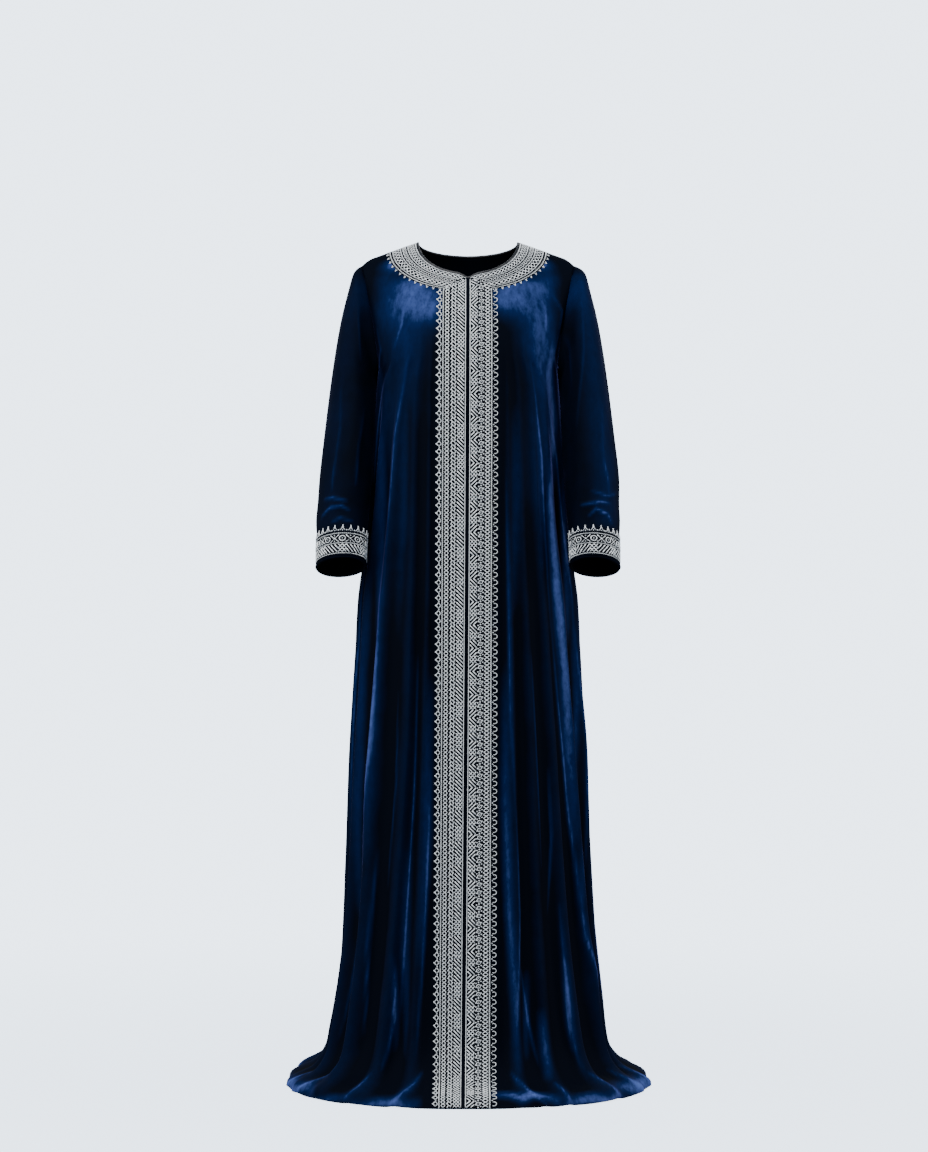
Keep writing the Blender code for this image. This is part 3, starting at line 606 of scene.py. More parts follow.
def row_at(place, face):
    """One row of a panel half at a fractional place: its curve, fold depth and lift."""
    if place <= CHEST_ROW:
        ring = Ring(*spline(np.array(RINGS), place)[0])
        turn = np.linspace(0.0, math.pi / 2, CURVE_POINTS)
        depth = getattr(ring, face + "_depth")
        x = ring.half_width * np.sin(turn) ** (2.0 / SIDE_ROUNDNESS)
        y = FACING[face] * depth * np.cos(turn).clip(0.0) ** (2.0 / SIDE_ROUNDNESS)
        return np.column_stack([x, y, np.full_like(x, ring.height)]), ring.fold, ring.lift
    drops = [getattr(yoke, face + "_drop") for yoke in YOKES]
    if place <= TIP_ROW:
        climb = (place - CHEST_ROW) / ARMHOLE_ROWS
        share = np.interp(place - CHEST_ROW, np.arange(ARMHOLE_ROWS + 1), armhole_shares(face))
        reach, end = armhole_point(share)
        tip_start = shoulder_height(YOKES[0].reach) - drops[0]
        start = CHEST_HEIGHT + (tip_start - CHEST_HEIGHT) * climb
        fold = RINGS[-1].fold * max(0.0, 1.0 - climb / FOLD_FADE)
        return upper_curve(reach, start, end, YOKES[0].roundness * climb ** 2, face), fold, 0.0
    over = place - TIP_ROW
    reach, drop, roundness = (np.interp(over, np.arange(len(YOKES)), column) for column in
                              ([yoke.reach for yoke in YOKES], drops,
                               [yoke.roundness for yoke in YOKES]))
    end = shoulder_height(reach)
    curve = upper_curve(reach, end - drop, end, roundness, face)
    if face == "front":
        depth, half_width, begins, curved = NECK_NOTCH
        share = np.clip((over - begins) / (len(YOKES) - 1 - begins), 0.0, 1.0) ** curved
        curve[:, 2] -= share * depth * np.exp(-(curve[:, 0] / half_width) ** 2)
    return curve, 0.0, 0.0


@functools.lru_cache(maxsize=None)
def row_places():
    """Fractional rows of the fine cloth, from the hem to the neck edge."""
    places = [0.0]
    for row, (low, high) in enumerate(zip(RINGS[:-1], RINGS[1:])):
        run = math.hypot(high.height - low.height, high.half_width - low.half_width)
        steps = max(3, round(run / ROW_PITCH))
        places += list(row + np.arange(1, steps + 1) / steps)
    places += list(CHEST_ROW + np.arange(1, ARMHOLE_ROWS * ARMHOLE_STEPS + 1) / ARMHOLE_STEPS)
    top_rows = (len(YOKES) - 1) * YOKE_STEPS
    places += list(TIP_ROW + np.arange(1, top_rows + 1) / YOKE_STEPS)
    return np.array(places)

def row_nearest(places, place):
    """Number of the fine row or ring that lies nearest to a fractional place."""
    return int(np.argmin(np.abs(places - place)))


def line_field(across, down, points, half_width):
    """How strongly a crease along a line of points stands out at each place of the cloth."""
    points = np.asarray(points, dtype=float)
    run = running(points)
    nearest = np.full(across.shape, np.inf)
    along = np.zeros(across.shape)
    for start, end, begun in zip(points[:-1], points[1:], run[:-1]):
        way = end - start
        share = ((across - start[0]) * way[0] + (down - start[1]) * way[1]) / way.dot(way)
        share = np.clip(share, 0.0, 1.0)
        apart = np.hypot(across - start[0] - share * way[0], down - start[1] - share * way[1])
        closer = apart < nearest
        nearest = np.where(closer, apart, nearest)
        along = np.where(closer, begun + share * np.hypot(*way), along)
    ends = np.sin(math.pi * np.clip(along / run[-1], 0.0, 1.0)) ** CREASE_END_CURVE
    return np.exp(-(nearest / half_width) ** 2) * ends


def grid_normals(grid):
    """Unit normals of a grid of points, averaged from the faces round each point."""
    across = grid[:, 1:] - grid[:, :-1]
    up = grid[1:] - grid[:-1]
    faces = np.cross(across[:-1] + across[1:], up[:, :-1] + up[:, 1:])
    total = np.zeros_like(grid)
    for row in (0, 1):
        for column in (0, 1):
            rows = slice(row, row + faces.shape[0])
            total[rows, column:column + faces.shape[1]] += faces
    return unit(total)


def smooth_chest(grid):
    """Evens out the level where the skirt's rings turn into the chest rows."""
    middle = row_nearest(row_places(), CHEST_ROW)
    span, rounds = CHEST_SMOOTHING
    ease = (1.0 + np.cos(np.linspace(-math.pi, math.pi, 2 * span + 1))) / 4.0
    for _ in range(rounds):
        rows = slice(middle - span, middle + span + 1)
        mean = (grid[middle - span - 1:middle + span] + grid[middle - span + 1:middle + span + 2]) / 2
        grid[rows] += (mean - grid[rows]) * ease[:, None, None]
    return grid


def panel_half(face, side):
    """Fine grid of one half of the front or back, columns from the centre to the side."""
    crests = CRESTS[face, side]
    count = len(crests)
    near = np.arange(0.0, TOOTH_REACH - 1e-9, NEAR_PITCH[face])
    phases = np.linspace(-0.5, count - 0.5, FOLD_COLUMNS[face] + 1)
    knots = np.concatenate([[-0.5], np.arange(count), [count - 0.5]])
    levels = sorted(CREST_HEIGHTS, key=CREST_HEIGHTS.get)
    heights = [CREST_HEIGHTS[level] for level in levels]
    rows = [row_at(place, face) for place in row_places()]
    grid = []
    for curve, _, _ in rows:
        run = running(curve)
        shares = [np.interp(curve[0, 2], heights, [getattr(crest, level) for level in levels])
                  for crest in crests]
        folds = np.interp(phases, knots, [0.0] + shares + [1.0])
        places = np.concatenate([near, TOOTH_REACH + (run[-1] - TOOTH_REACH) * folds])
        grid.append(np.column_stack([np.interp(places, run, curve[:, axis]) for axis in range(3)]))
    grid = smooth_chest(np.array(grid))
    outward = grid_normals(grid) * -FACING[face]
    outward[:, :, 2] = 0.0
    outward[:, 0, 0] = 0.0
    outward = unit(outward)
    wave = ((1.0 + np.cos(2.0 * math.pi * phases)) / 2.0) ** CREST_SHARPNESS
    middle = np.interp(phases, range(count), [crest.depth for crest in crests])
    at_seam = np.clip((phases - (count - 1)) * 2.0, 0.0, 1.0)
    scale = middle * (1.0 - at_seam) + at_seam
    blend = np.clip((phases + 0.5) / REST_BLEND, 0.0, 1.0)
    rest = np.concatenate([np.ones_like(near), 1.0 + (scale - 1.0) * blend]) * CREST_REST
    if face == "front":
        shape = np.concatenate([np.zeros_like(near), wave * scale])
        fade = np.concatenate([np.zeros_like(near), np.clip((phases + 0.5) / BAND_FADE, 0.0, 1.0)])
    else:
        swell = (1.0 + np.cos(math.pi * near / TOOTH_REACH)) / 2.0
        shape = np.concatenate([CENTRE_BACK_FOLD * swell ** CENTRE_BACK_CURVE, wave * scale])
        fade = np.ones_like(shape)
    fold, lift = (np.array([row[number] for row in rows])[:, None] for number in (1, 2))
    grid += outward * (fold * (shape - rest) * fade)[:, :, None]
    grid[:, :, 2] += lift * (shape * fade)
    if face == "front":
        drop = np.clip(grid[:, :1, 2] / FLOOR, 0.0, 1.0) ** LEAN_CURVE
        near_centre = np.clip(1.0 - np.abs(grid[:, :, 0]) / LEAN_REACH, 0.0, 1.0)
        grid[:, :, 0] += CENTRE_LEAN * WEARER_SIDE[side] * drop * near_centre
    raised, line = crease_panel(grid, face, side)
    settle_side(grid, outward, side)
    # Painted light: highlights on patches, fold tops and creases, and painted shade between the folds
    pile = painted_highlights(grid, face, side) + painted_crease_highlight(raised / (FULL_CREASE * MM), line)
    fold_tops = np.clip(fold / FULL_FOLD, 0.0, 1.0) * np.clip(shape, 0.0, 1.0) * fade
    pile += FOLD_PAINTED_LIGHT * (fold_tops - MEAN_FOLD)
    grid[:, :, 0] *= WEARER_SIDE[side]
    return grid, pile


def settle_side(grid, outward, side):
    """Swells and draws in the cloth near the side seam, and rolls its foot out on the floor."""
    across = chart(grid)[0]
    from_seam = across[:, -1:] - across
    middle, half_length, reach, swell = SIDE_SWELL
    near_arm = np.cos(np.clip((grid[:, :, 2] - middle) / half_length, -1.0, 1.0) * math.pi / 2) ** 2
    grid[:, :, 0] += swell * near_arm * np.exp(-(from_seam / reach) ** 2)
    pull = np.interp(grid[:, :, 2], PULL_HEIGHTS, SIDE_PULL[side]) * MM
    grid[:, :, 0] -= pull * np.exp(-(from_seam / PULL_REACH) ** 2)
    middle, half_height, reach = POOL_ROLL
    roll = reach * np.exp(-((grid[:, :, 2] - middle) / half_height) ** 2)
    grid += outward * roll[:, :, None]
    grid[:, :, 2] = np.maximum(grid[:, :, 2], FLOOR + WALL)


def chart(grid):
    """Distance across from the centre line and distance down the cloth, for every point."""
    across = running(grid.transpose(1, 0, 2)).T
    run = running(grid)
    return across, CHEST_HEIGHT + run - run[row_nearest(row_places(), CHEST_ROW)]


def painted_highlights(grid, face, side):
    """Painted highlights of one panel half, from 0 to 1: soft patches and swathes along the fold tops.
    """
    across, down = chart(grid)
    level = down.mean(axis=1)
    upright = np.ones(across.shape)
    for low, share, tall, wide, strength in PAINTED_HIGHLIGHT_PATCHES[face, side]:
        middle, station = placed([(low, share)], across, level)[0]
        apart = np.hypot((across - middle) / wide, (down - station) / tall) / MM
        upright *= 1.0 - strength / 100 * np.exp(-apart ** 2)
    pile = 1.0 - upright
    for stations, wide, strength in PAINTED_FOLD_SWATHES[face, side]:
        glow = line_field(across, down, placed(stations, across, level), wide * MM)
        pile = np.maximum(pile, strength / 100 * glow)
    return pile


def placed(stations, across, level):
    """Stations in millimetres down and hundredths across, as points of the cloth in metres."""
    points = []
    for low, share in stations:
        station = -low / 1000
        width = np.interp(station, level, across[:, -1])
        points.append((TOOTH_REACH + share / 100 * (width - TOOTH_REACH), station))
    return points


def painted_crease_highlight(rise, line):
    """Painted highlight along a crease: a soft painted glow and, on its crest, a fine painted bright
    line.
    """
    return RIDGE_PAINTED_GLOW * np.clip(rise, 0.0, 1.1) ** 2 + LINE_PAINTED_HIGHLIGHT * line


def crease_panel(grid, face, side):
    """Raises the listed creases of one panel half out of its cloth."""
    across, down = chart(grid)
    level = down.mean(axis=1)
    clear = np.ones_like(across)
    if face == "front":
        clear = np.clip((across - BAND_WIDTH) / (TOOTH_REACH - BAND_WIDTH), 0.0, 1.0)
    seam = np.clip((across[:, -1:] - across) / SEAM_FADE, 0.0, 1.0)
    height = np.zeros(across.shape)
    line = np.zeros(across.shape)
    for stations, depth, half_width in CREASES[face, side]:
        points = placed(stations, across, level)
        height += depth * MM * line_field(across, down, points, half_width * MM)
        crest = line_field(across, down, points, LINE_HALF_WIDTH)
        line = np.maximum(line, min(1.0, depth / FULL_CREASE) * crest)
    height *= clear * seam
    grid += grid_normals(grid) * -FACING[face] * height[:, :, None]
    return height, line * clear


@functools.lru_cache(maxsize=None)
def cloth():
    """Fine grids of the four panel halves, their normals made alike at the seams, and their painted
    light.
    """
    halves = {key: panel_half(*key) for key in CRESTS}
    grids, painted_lights = ({key: half[number] for key, half in halves.items()} for number in (0, 1))
    normals = {}
    for (face, side), grid in grids.items():
        away = grid_normals(grid) * -FACING[face] * WEARER_SIDE[side]
        away[:, 0, 0] = 0.0
        normals[face, side] = unit(away)
    chest, tip = (row_nearest(row_places(), row) for row in (CHEST_ROW, TIP_ROW))
    for side in WEARER_SIDE:
        front, back = ("front", side), ("back", side)
        for rows in (slice(0, chest + 1), slice(tip, None)):
            meeting = (grids[front][rows, -1] + grids[back][rows, -1]) / 2
            mean = unit(normals[front][rows, -1] + normals[back][rows, -1])
            for key in (front, back):
                grids[key][rows, -1] = meeting
                normals[key][rows, -1] = mean
    return grids, normals, painted_lights


def sleeve_rings(side, loop, turn):
    """Rings of a sleeve: the armhole, and then its sections with their folds and tuck."""
    out = np.cos(turn)
    forward = np.sin(turn)
    rings = [loop]
    for number, section in enumerate(SECTIONS, start=1):
        swell = np.zeros_like(turn)
        for fold in SLEEVE_FOLDS:
            apart = np.abs((np.degrees(turn) - fold.turn + 180.0) % 360.0 - 180.0)
            bell = np.cos(np.clip(apart / SLEEVE_FOLD_HALF_WIDTH, 0.0, 1.0) * math.pi / 2) ** 2
            along = (number - fold.first) / (fold.last - fold.first)
            if 0.0 < along < 1.0:
                swell += fold.depth * bell * math.sin(math.pi * along)
        half_out = (section.outer - section.inner) / 2 + swell
        half_deep = (section.back - section.front) / 2 + swell
        x = (section.outer + section.inner) / 2 + out * half_out - section.toe_in * forward
        lasting = np.clip((section.height - SLEEVE_REACH_END) / SLEEVE_REACH_FADE, 0.0, 1.0)
        x += SLEEVE_REACH[side] * lasting * np.clip(out, 0.0, 1.0)
        if number < len(SLEEVE_TUCK):
            x -= SLEEVE_TUCK[number] * np.clip(-out, 0.0, 1.0) ** TUCK_CURVE
        y = (section.back + section.front) / 2 - forward * half_deep
        z = section.height + out * section.rise_outer + forward * section.rise_front
        rings.append(np.column_stack([WEARER_SIDE[side] * x, y, z]))
    return np.array(rings)


@functools.lru_cache(maxsize=None)
def sleeve(side):
    """Fine rings of a sleeve from the armhole to the cuff: points, normals, places and painted light."""
    grids, normals, _ = cloth()
    chest, tip = (row_nearest(row_places(), row) for row in (CHEST_ROW, TIP_ROW))
    loop, seam = (np.concatenate([sheets["front", side][chest:tip + 1, -1],
                                  sheets["back", side][tip - 1:chest:-1, -1]])
                  for sheets in (grids, normals))
    turn = math.pi * (1.0 - 2.0 * np.arange(len(loop)) / len(loop))
    rings = sleeve_rings(side, loop, turn)
    gaps = np.linalg.norm(np.diff(rings, axis=0), axis=2).mean(axis=1)
    places = [0.0]
    for row, gap in enumerate(gaps):
        steps = max(2, round(gap / SLEEVE_RING_PITCH))
        places += list(row + np.arange(1, steps + 1) / steps)
    places = np.array(places)
    fine = spline(rings, places)
    height = np.zeros(fine.shape[:2])
    line = np.zeros(fine.shape[:2])
    degrees = np.degrees(turn)[None, :] + np.zeros(fine.shape[:2])
    scale = SLEEVE_TURN_RADIUS * math.pi / 180.0
    for stations, depth, half_width in SLEEVE_CREASES[side]:
        points = [(angle * scale, -low / 1000) for low, angle in stations]
        for lap in (-360.0, 0.0, 360.0):
            place = (degrees + lap) * scale, fine[:, :, 2], points
            height += depth * MM * line_field(*place, half_width * MM)
            crest = line_field(*place, LINE_HALF_WIDTH)
            line = np.maximum(line, min(1.0, depth / FULL_SLEEVE_LINE) * crest)
    join = np.clip(places / SLEEVE_JOIN_RINGS, 0.0, 1.0)[:, None]
    foot = np.clip(CUFF_TOOTH_RING + 0.5 - places, 0.0, 1.0)[:, None]
    fine += ring_normals(fine, side) * (height * join * foot)[:, :, None]
    away = ring_normals(fine, side)
    away[0] = unit(away[0] + seam)
    # Painted light: highlights along the creases, brightest above the cuff, and painted sheen down the
    # front of the sleeve and over its cap
    begins, grows, least = SLEEVE_LOW_PAINTED_HIGHLIGHT
    low = np.clip((begins - fine[:, :, 2]) / grows, least, 1.0)
    pile = painted_crease_highlight(height * foot / (FULL_SLEEVE_GLOW * MM), line * foot * join) * low
    apart = (degrees - SLEEVE_PAINTED_SHEEN_TURN) / SLEEVE_PAINTED_SHEEN_TURN
    bell = np.cos(np.clip(apart, -1.0, 1.0) * math.pi / 2) ** 2
    middle, half_height, more = SLEEVE_CAP
    cap = 1.0 + more * np.exp(-((fine[:, :, 2] - middle) / half_height) ** 2)
    pile += SLEEVE_PAINTED_SHEEN[side] * bell * cap * foot
    return fine, away, places, pile


def ring_normals(rings, side):
    """Normals of a sleeve that point away from the arm."""
    closed = np.concatenate([rings[:, -1:], rings, rings[:, :1]], axis=1)
    return grid_normals(closed)[:, 1:-1] * -WEARER_SIDE[side]


def srgb(code):
    """A hex colour as linear red, green and blue."""
    values = [int(code[i:i + 2], 16) / 255.0 for i in (1, 3, 5)]
    return tuple(v / 12.92 if v <= 0.04045 else ((v + 0.055) / 1.055) ** 2.4 for v in values)


def add_node(tree, kind, settings=None, links=None):
    """A shader node with its own settings, its socket values, and links from other nodes."""
    node = tree.nodes.new(kind)
    for key, value in (settings or {}).items():
        if isinstance(key, str) and hasattr(node, key):
            setattr(node, key, value)
        else:
            node.inputs[key].default_value = value
    for key, source in (links or {}).items():
        tree.links.new(source, node.inputs[key])
    return node


def new_material(name):
    """An empty material, its shader tree and the place that its patterns are read from."""
    finish = bpy.data.materials.get(name) or bpy.data.materials.new(name)
    finish.use_nodes = True
    tree = finish.node_tree
    tree.nodes.clear()
    return finish, tree, add_node(tree, "ShaderNodeTexCoord").outputs["Object"]


def add_surface(tree, settings, links):
    """The main shader of a material, joined to its output."""
    shader = add_node(tree, "ShaderNodeBsdfPrincipled", settings, links)
    add_node(tree, "ShaderNodeOutputMaterial", links={"Surface": shader.outputs["BSDF"]})


def ramp(tree, source, stops):
    """A colour ramp over a value."""
    node = add_node(tree, "ShaderNodeValToRGB", links={"Fac": source})
    points = node.color_ramp.elements
    while len(points) < len(stops):
        points.new(0.5)
    for point, (place, colour) in zip(points, stops):
        point.position = place
        point.color = (*colour, 1.0)
    return node


def velvet(settings):
    """Silk-faced cotton velvet: cut pile, dark, with painted highlights, painted shade and painted sheen
    read from the mesh.
    """
    finish, tree, place = new_material("cotton_velvet")
    # Clouds of pile pressed one way or the other, 40 to 120 mm across
    clouds = add_node(tree, "ShaderNodeTexNoise",
                      {"Scale": settings.nap_scale, "Detail": 5.0, "Roughness": 0.6, "Distortion": 0.3},
                      {"Vector": place})
    # Mottling about 10 mm across and 20 mm long, as a hand leaves it
    drawn = add_node(tree, "ShaderNodeMapping", {"Scale": (105.0, 105.0, 48.0)}, {"Vector": place})
    mottle = add_node(tree, "ShaderNodeTexNoise", {"Scale": 1.0, "Detail": 5.0, "Roughness": 0.68},
                      {"Vector": drawn.outputs["Vector"]})
    # Painted highlights and painted shade are read from the mesh, and the mottling breaks the painted
    # highlights up
    painted_light = add_node(tree, "ShaderNodeAttribute", {"attribute_name": "painted_light"})
    broken = add_node(tree, "ShaderNodeMapRange",
                      {"From Min": 0.34, "From Max": 0.62, "To Min": 0.72, "To Max": 1.04},
                      {0: mottle.outputs["Fac"]})
    painted_shine = add_node(tree, "ShaderNodeMath", {"operation": "MULTIPLY"},
                     {0: painted_light.outputs["Fac"], 1: broken.outputs[0]})
    # The random clouds plus the painted light set the colour and the sheen
    lean = add_node(tree, "ShaderNodeMath", {"operation": "MULTIPLY_ADD", 1: 0.12},
                    {0: clouds.outputs["Fac"], 2: painted_shine.outputs[0]})
    # Painted light: the colour runs from the dark velvet through a painted half light to a painted
    # highlight blue
    colour = ramp(tree, lean.outputs[0], [(0.05, tuple(settings.velvet_dark)),
                                          (0.40, tuple(settings.velvet_painted_half_light)),
                                          (1.0, tuple(settings.velvet_painted_highlight))])
    # Painted sheen: the sheen weight follows the same painted light
    sheen = add_node(tree, "ShaderNodeMapRange", {"From Min": 0.04, "From Max": 0.60,
                                                  "To Min": 0.0, "To Max": 0.52}, {0: lean.outputs[0]})
    # The pile itself is 0.3 mm; its grain is drawn at about 1.2 mm so that it shows
    pile = add_node(tree, "ShaderNodeTexNoise", {"Scale": 850.0, "Detail": 2.0}, {"Vector": place})
    bump = add_node(tree, "ShaderNodeBump", {"Strength": 0.2, "Distance": 0.0005},
                    {"Height": pile.outputs["Fac"]})
    add_surface(tree, {"Roughness": 0.8, "Specular IOR Level": 0.03, "Sheen Roughness": 0.3,
                       "Sheen Tint": (0.13, 0.15, 0.52, 1.0)},
                {"Base Color": colour.outputs["Color"], "Normal": bump.outputs["Normal"],
                 "Sheen Weight": sheen.outputs[0]})
    return finish


def silver_thread(settings):
    """Metallised silver thread: bright and cool, with slight change from stitch to stitch."""
    finish, tree, place = new_material("silver_metal_thread")
    # Each couched stitch is about 2 mm, and takes the light a little differently
    grain = add_node(tree, "ShaderNodeTexNoise", {"Scale": 420.0, "Detail": 2.0}, {"Vector": place})
    bright = tuple(settings.thread_colour)
    dull = tuple(0.72 * value for value in bright)
    colour = ramp(tree, grain.outputs["Fac"], [(0.36, dull), (0.58, bright)])
    add_surface(tree, {"Metallic": 0.2, "Roughness": 0.45}, {"Base Color": colour.outputs["Color"]})
    return finish


def band_ground(settings):
    """Dark twill ground under the stitches, with the thinner silver filling thread let into it."""
    finish, tree, place = new_material("twill_ground_with_silver")
    # Filling threads 0.6 mm apart, drawn at about 1.4 mm so that they show
    cells = add_node(tree, "ShaderNodeTexVoronoi", {"Scale": 700.0}, {"Vector": place})
    colour = ramp(tree, cells.outputs["Distance"],
                  [(0.06, tuple(settings.filling_colour)), (0.22, tuple(settings.ground_colour))])
    add_surface(tree, {"Roughness": 0.7, "Specular IOR Level": 0.06},
                {"Base Color": colour.outputs["Color"]})
    return finish


def piping_cloth(settings):
    """Satin-woven bias binding: smoother than the velvet and almost black."""
    finish, tree, place = new_material("satin_binding")
    # Weave ridges of the bias strip, 1.5 mm apart
    weave = add_node(tree, "ShaderNodeTexWave", {"Scale": 210.0, "Distortion": 1.5}, {"Vector": place})
    colour = ramp(tree, weave.outputs["Fac"],
                  [(0.0, tuple(settings.ground_colour)), (1.0, tuple(settings.velvet_dark))])
    add_surface(tree, {"Roughness": 0.5}, {"Base Color": colour.outputs["Color"]})
    return finish


def add_object(name, data):
    """A new object at the origin, linked to the scene."""
    thing = bpy.data.objects.new(name, data)
    bpy.context.scene.collection.objects.link(thing)
    return thing


def add_mesh(name, points, faces, finishes, material_ids=None, flat=()):
    """A smooth-shaded mesh object at the origin."""
    mesh = bpy.data.meshes.new(name)
    mesh.from_pydata(points.tolist(), [], faces)
    for finish in finishes:
        mesh.materials.append(finish)
    smooth = np.ones(len(faces), dtype=bool)
    smooth[list(flat)] = False
    mesh.polygons.foreach_set("use_smooth", smooth)
    if material_ids is not None:
        mesh.polygons.foreach_set("material_index", material_ids)
    mesh.validate()
    mesh.update()
    return add_object(name, mesh)


def shell_mesh(outer, normals, thickness, wrap=False):
    """Points and faces of a thin closed sheet, and the numbers of its rim faces."""
    rows, columns = outer.shape[:2]
    inner = outer - normals * thickness
    inner[:, :, 2] = np.maximum(inner[:, :, 2], FLOOR)
    points = np.concatenate([outer.reshape(-1, 3), inner.reshape(-1, 3)])
    index = np.arange(rows * columns).reshape(rows, columns)
    loops = [np.concatenate([index[0], index[1:, -1], index[-1, -2::-1], index[-2:0:-1, 0],
                             index[0, :1]])]
    if wrap:
        index = np.concatenate([index, index[:, :1]], axis=1)
        loops = [index[0], index[-1][::-1]]
    quads = np.stack([index[:-1, :-1], index[:-1, 1:], index[1:, 1:], index[1:, :-1]], axis=2)
    quads = quads.reshape(-1, 4)
    edges = outer.reshape(-1, 3)[quads]
    facing = np.cross(edges[:, 1] - edges[:, 0], edges[:, 3] - edges[:, 0])
    count = rows * columns
    rim = np.concatenate([np.stack([loop[1:], loop[:-1], loop[:-1] + count, loop[1:] + count], axis=1)
                          for loop in loops])
    if (facing * normals.reshape(-1, 3)[quads[:, 0]]).sum() < 0.0:
        quads = quads[:, ::-1]
        rim = rim[:, ::-1]
    faces = np.concatenate([quads, quads[:, ::-1] + count, rim])
    return points, faces.tolist(), range(len(faces) - len(rim), len(faces))


def add_sheet(name, outer, normals, finish, node, pile, wrap=False):
    """A cloth piece that stands for one plain solid; pile is its painted light, the painted highlights
    and shade.
    """
    points, faces, rim = shell_mesh(outer, normals, WALL, wrap)
    piece = add_mesh(name, points, faces, [finish], flat=rim)
    # Painted light: highlights and shade stored for the velvet material to colour
    painted_light = piece.data.attributes.new("painted_light", "FLOAT", "POINT")
    painted_light.data.foreach_set("value", np.tile(pile.ravel(), 2).astype(np.float32))
    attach(piece, "root")
    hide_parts(node)
    return piece


def pulled(grid, column, following, gap):
    """A grid whose edge column is pulled a little way towards its neighbour."""
    grid = grid.copy()
    grid[:, column] += unit(grid[:, following] - grid[:, column]) * gap
    return grid


class Strip:
    """A strip of cloth that is read by distance along it and across it, in millimetres."""

    def __init__(self, points, normals, along, across):
        self.both = np.concatenate([points, normals], axis=2)
        self.along = np.asarray(along) / MM
        self.across = np.asarray(across) / MM

    def at(self, flat):
        """Points in space for rows of along, across and height above the cloth."""
        row = np.interp(flat[:, 0], self.along, np.arange(len(self.along)))
        column = np.interp(flat[:, 1], self.across, np.arange(len(self.across)))
        low_row = np.minimum(row.astype(int), len(self.along) - 2)
        low_column = np.minimum(column.astype(int), len(self.across) - 2)
        r = (row - low_row)[:, None]
        c = (column - low_column)[:, None]
        near = self.both[low_row, low_column] * (1 - c) + self.both[low_row, low_column + 1] * c
        far = self.both[low_row + 1, low_column] * (1 - c) + self.both[low_row + 1, low_column + 1] * c
        mixed = near * (1 - r) + far * r
        return mixed[:, :3] + unit(mixed[:, 3:]) * flat[:, 2:] * MM


def oval(along, across, reach_along, reach_across, level, sides, lean=0.0):
    """A ring of points round a place, in millimetres, all at one level."""
    turn = np.arange(sides) * 2.0 * math.pi / sides
    x = reach_along * np.cos(turn)
    y = reach_across * np.sin(turn)
    return np.column_stack([along + x * math.cos(lean) - y * math.sin(lean),
                            across + x * math.sin(lean) + y * math.cos(lean), np.full(sides, level)])


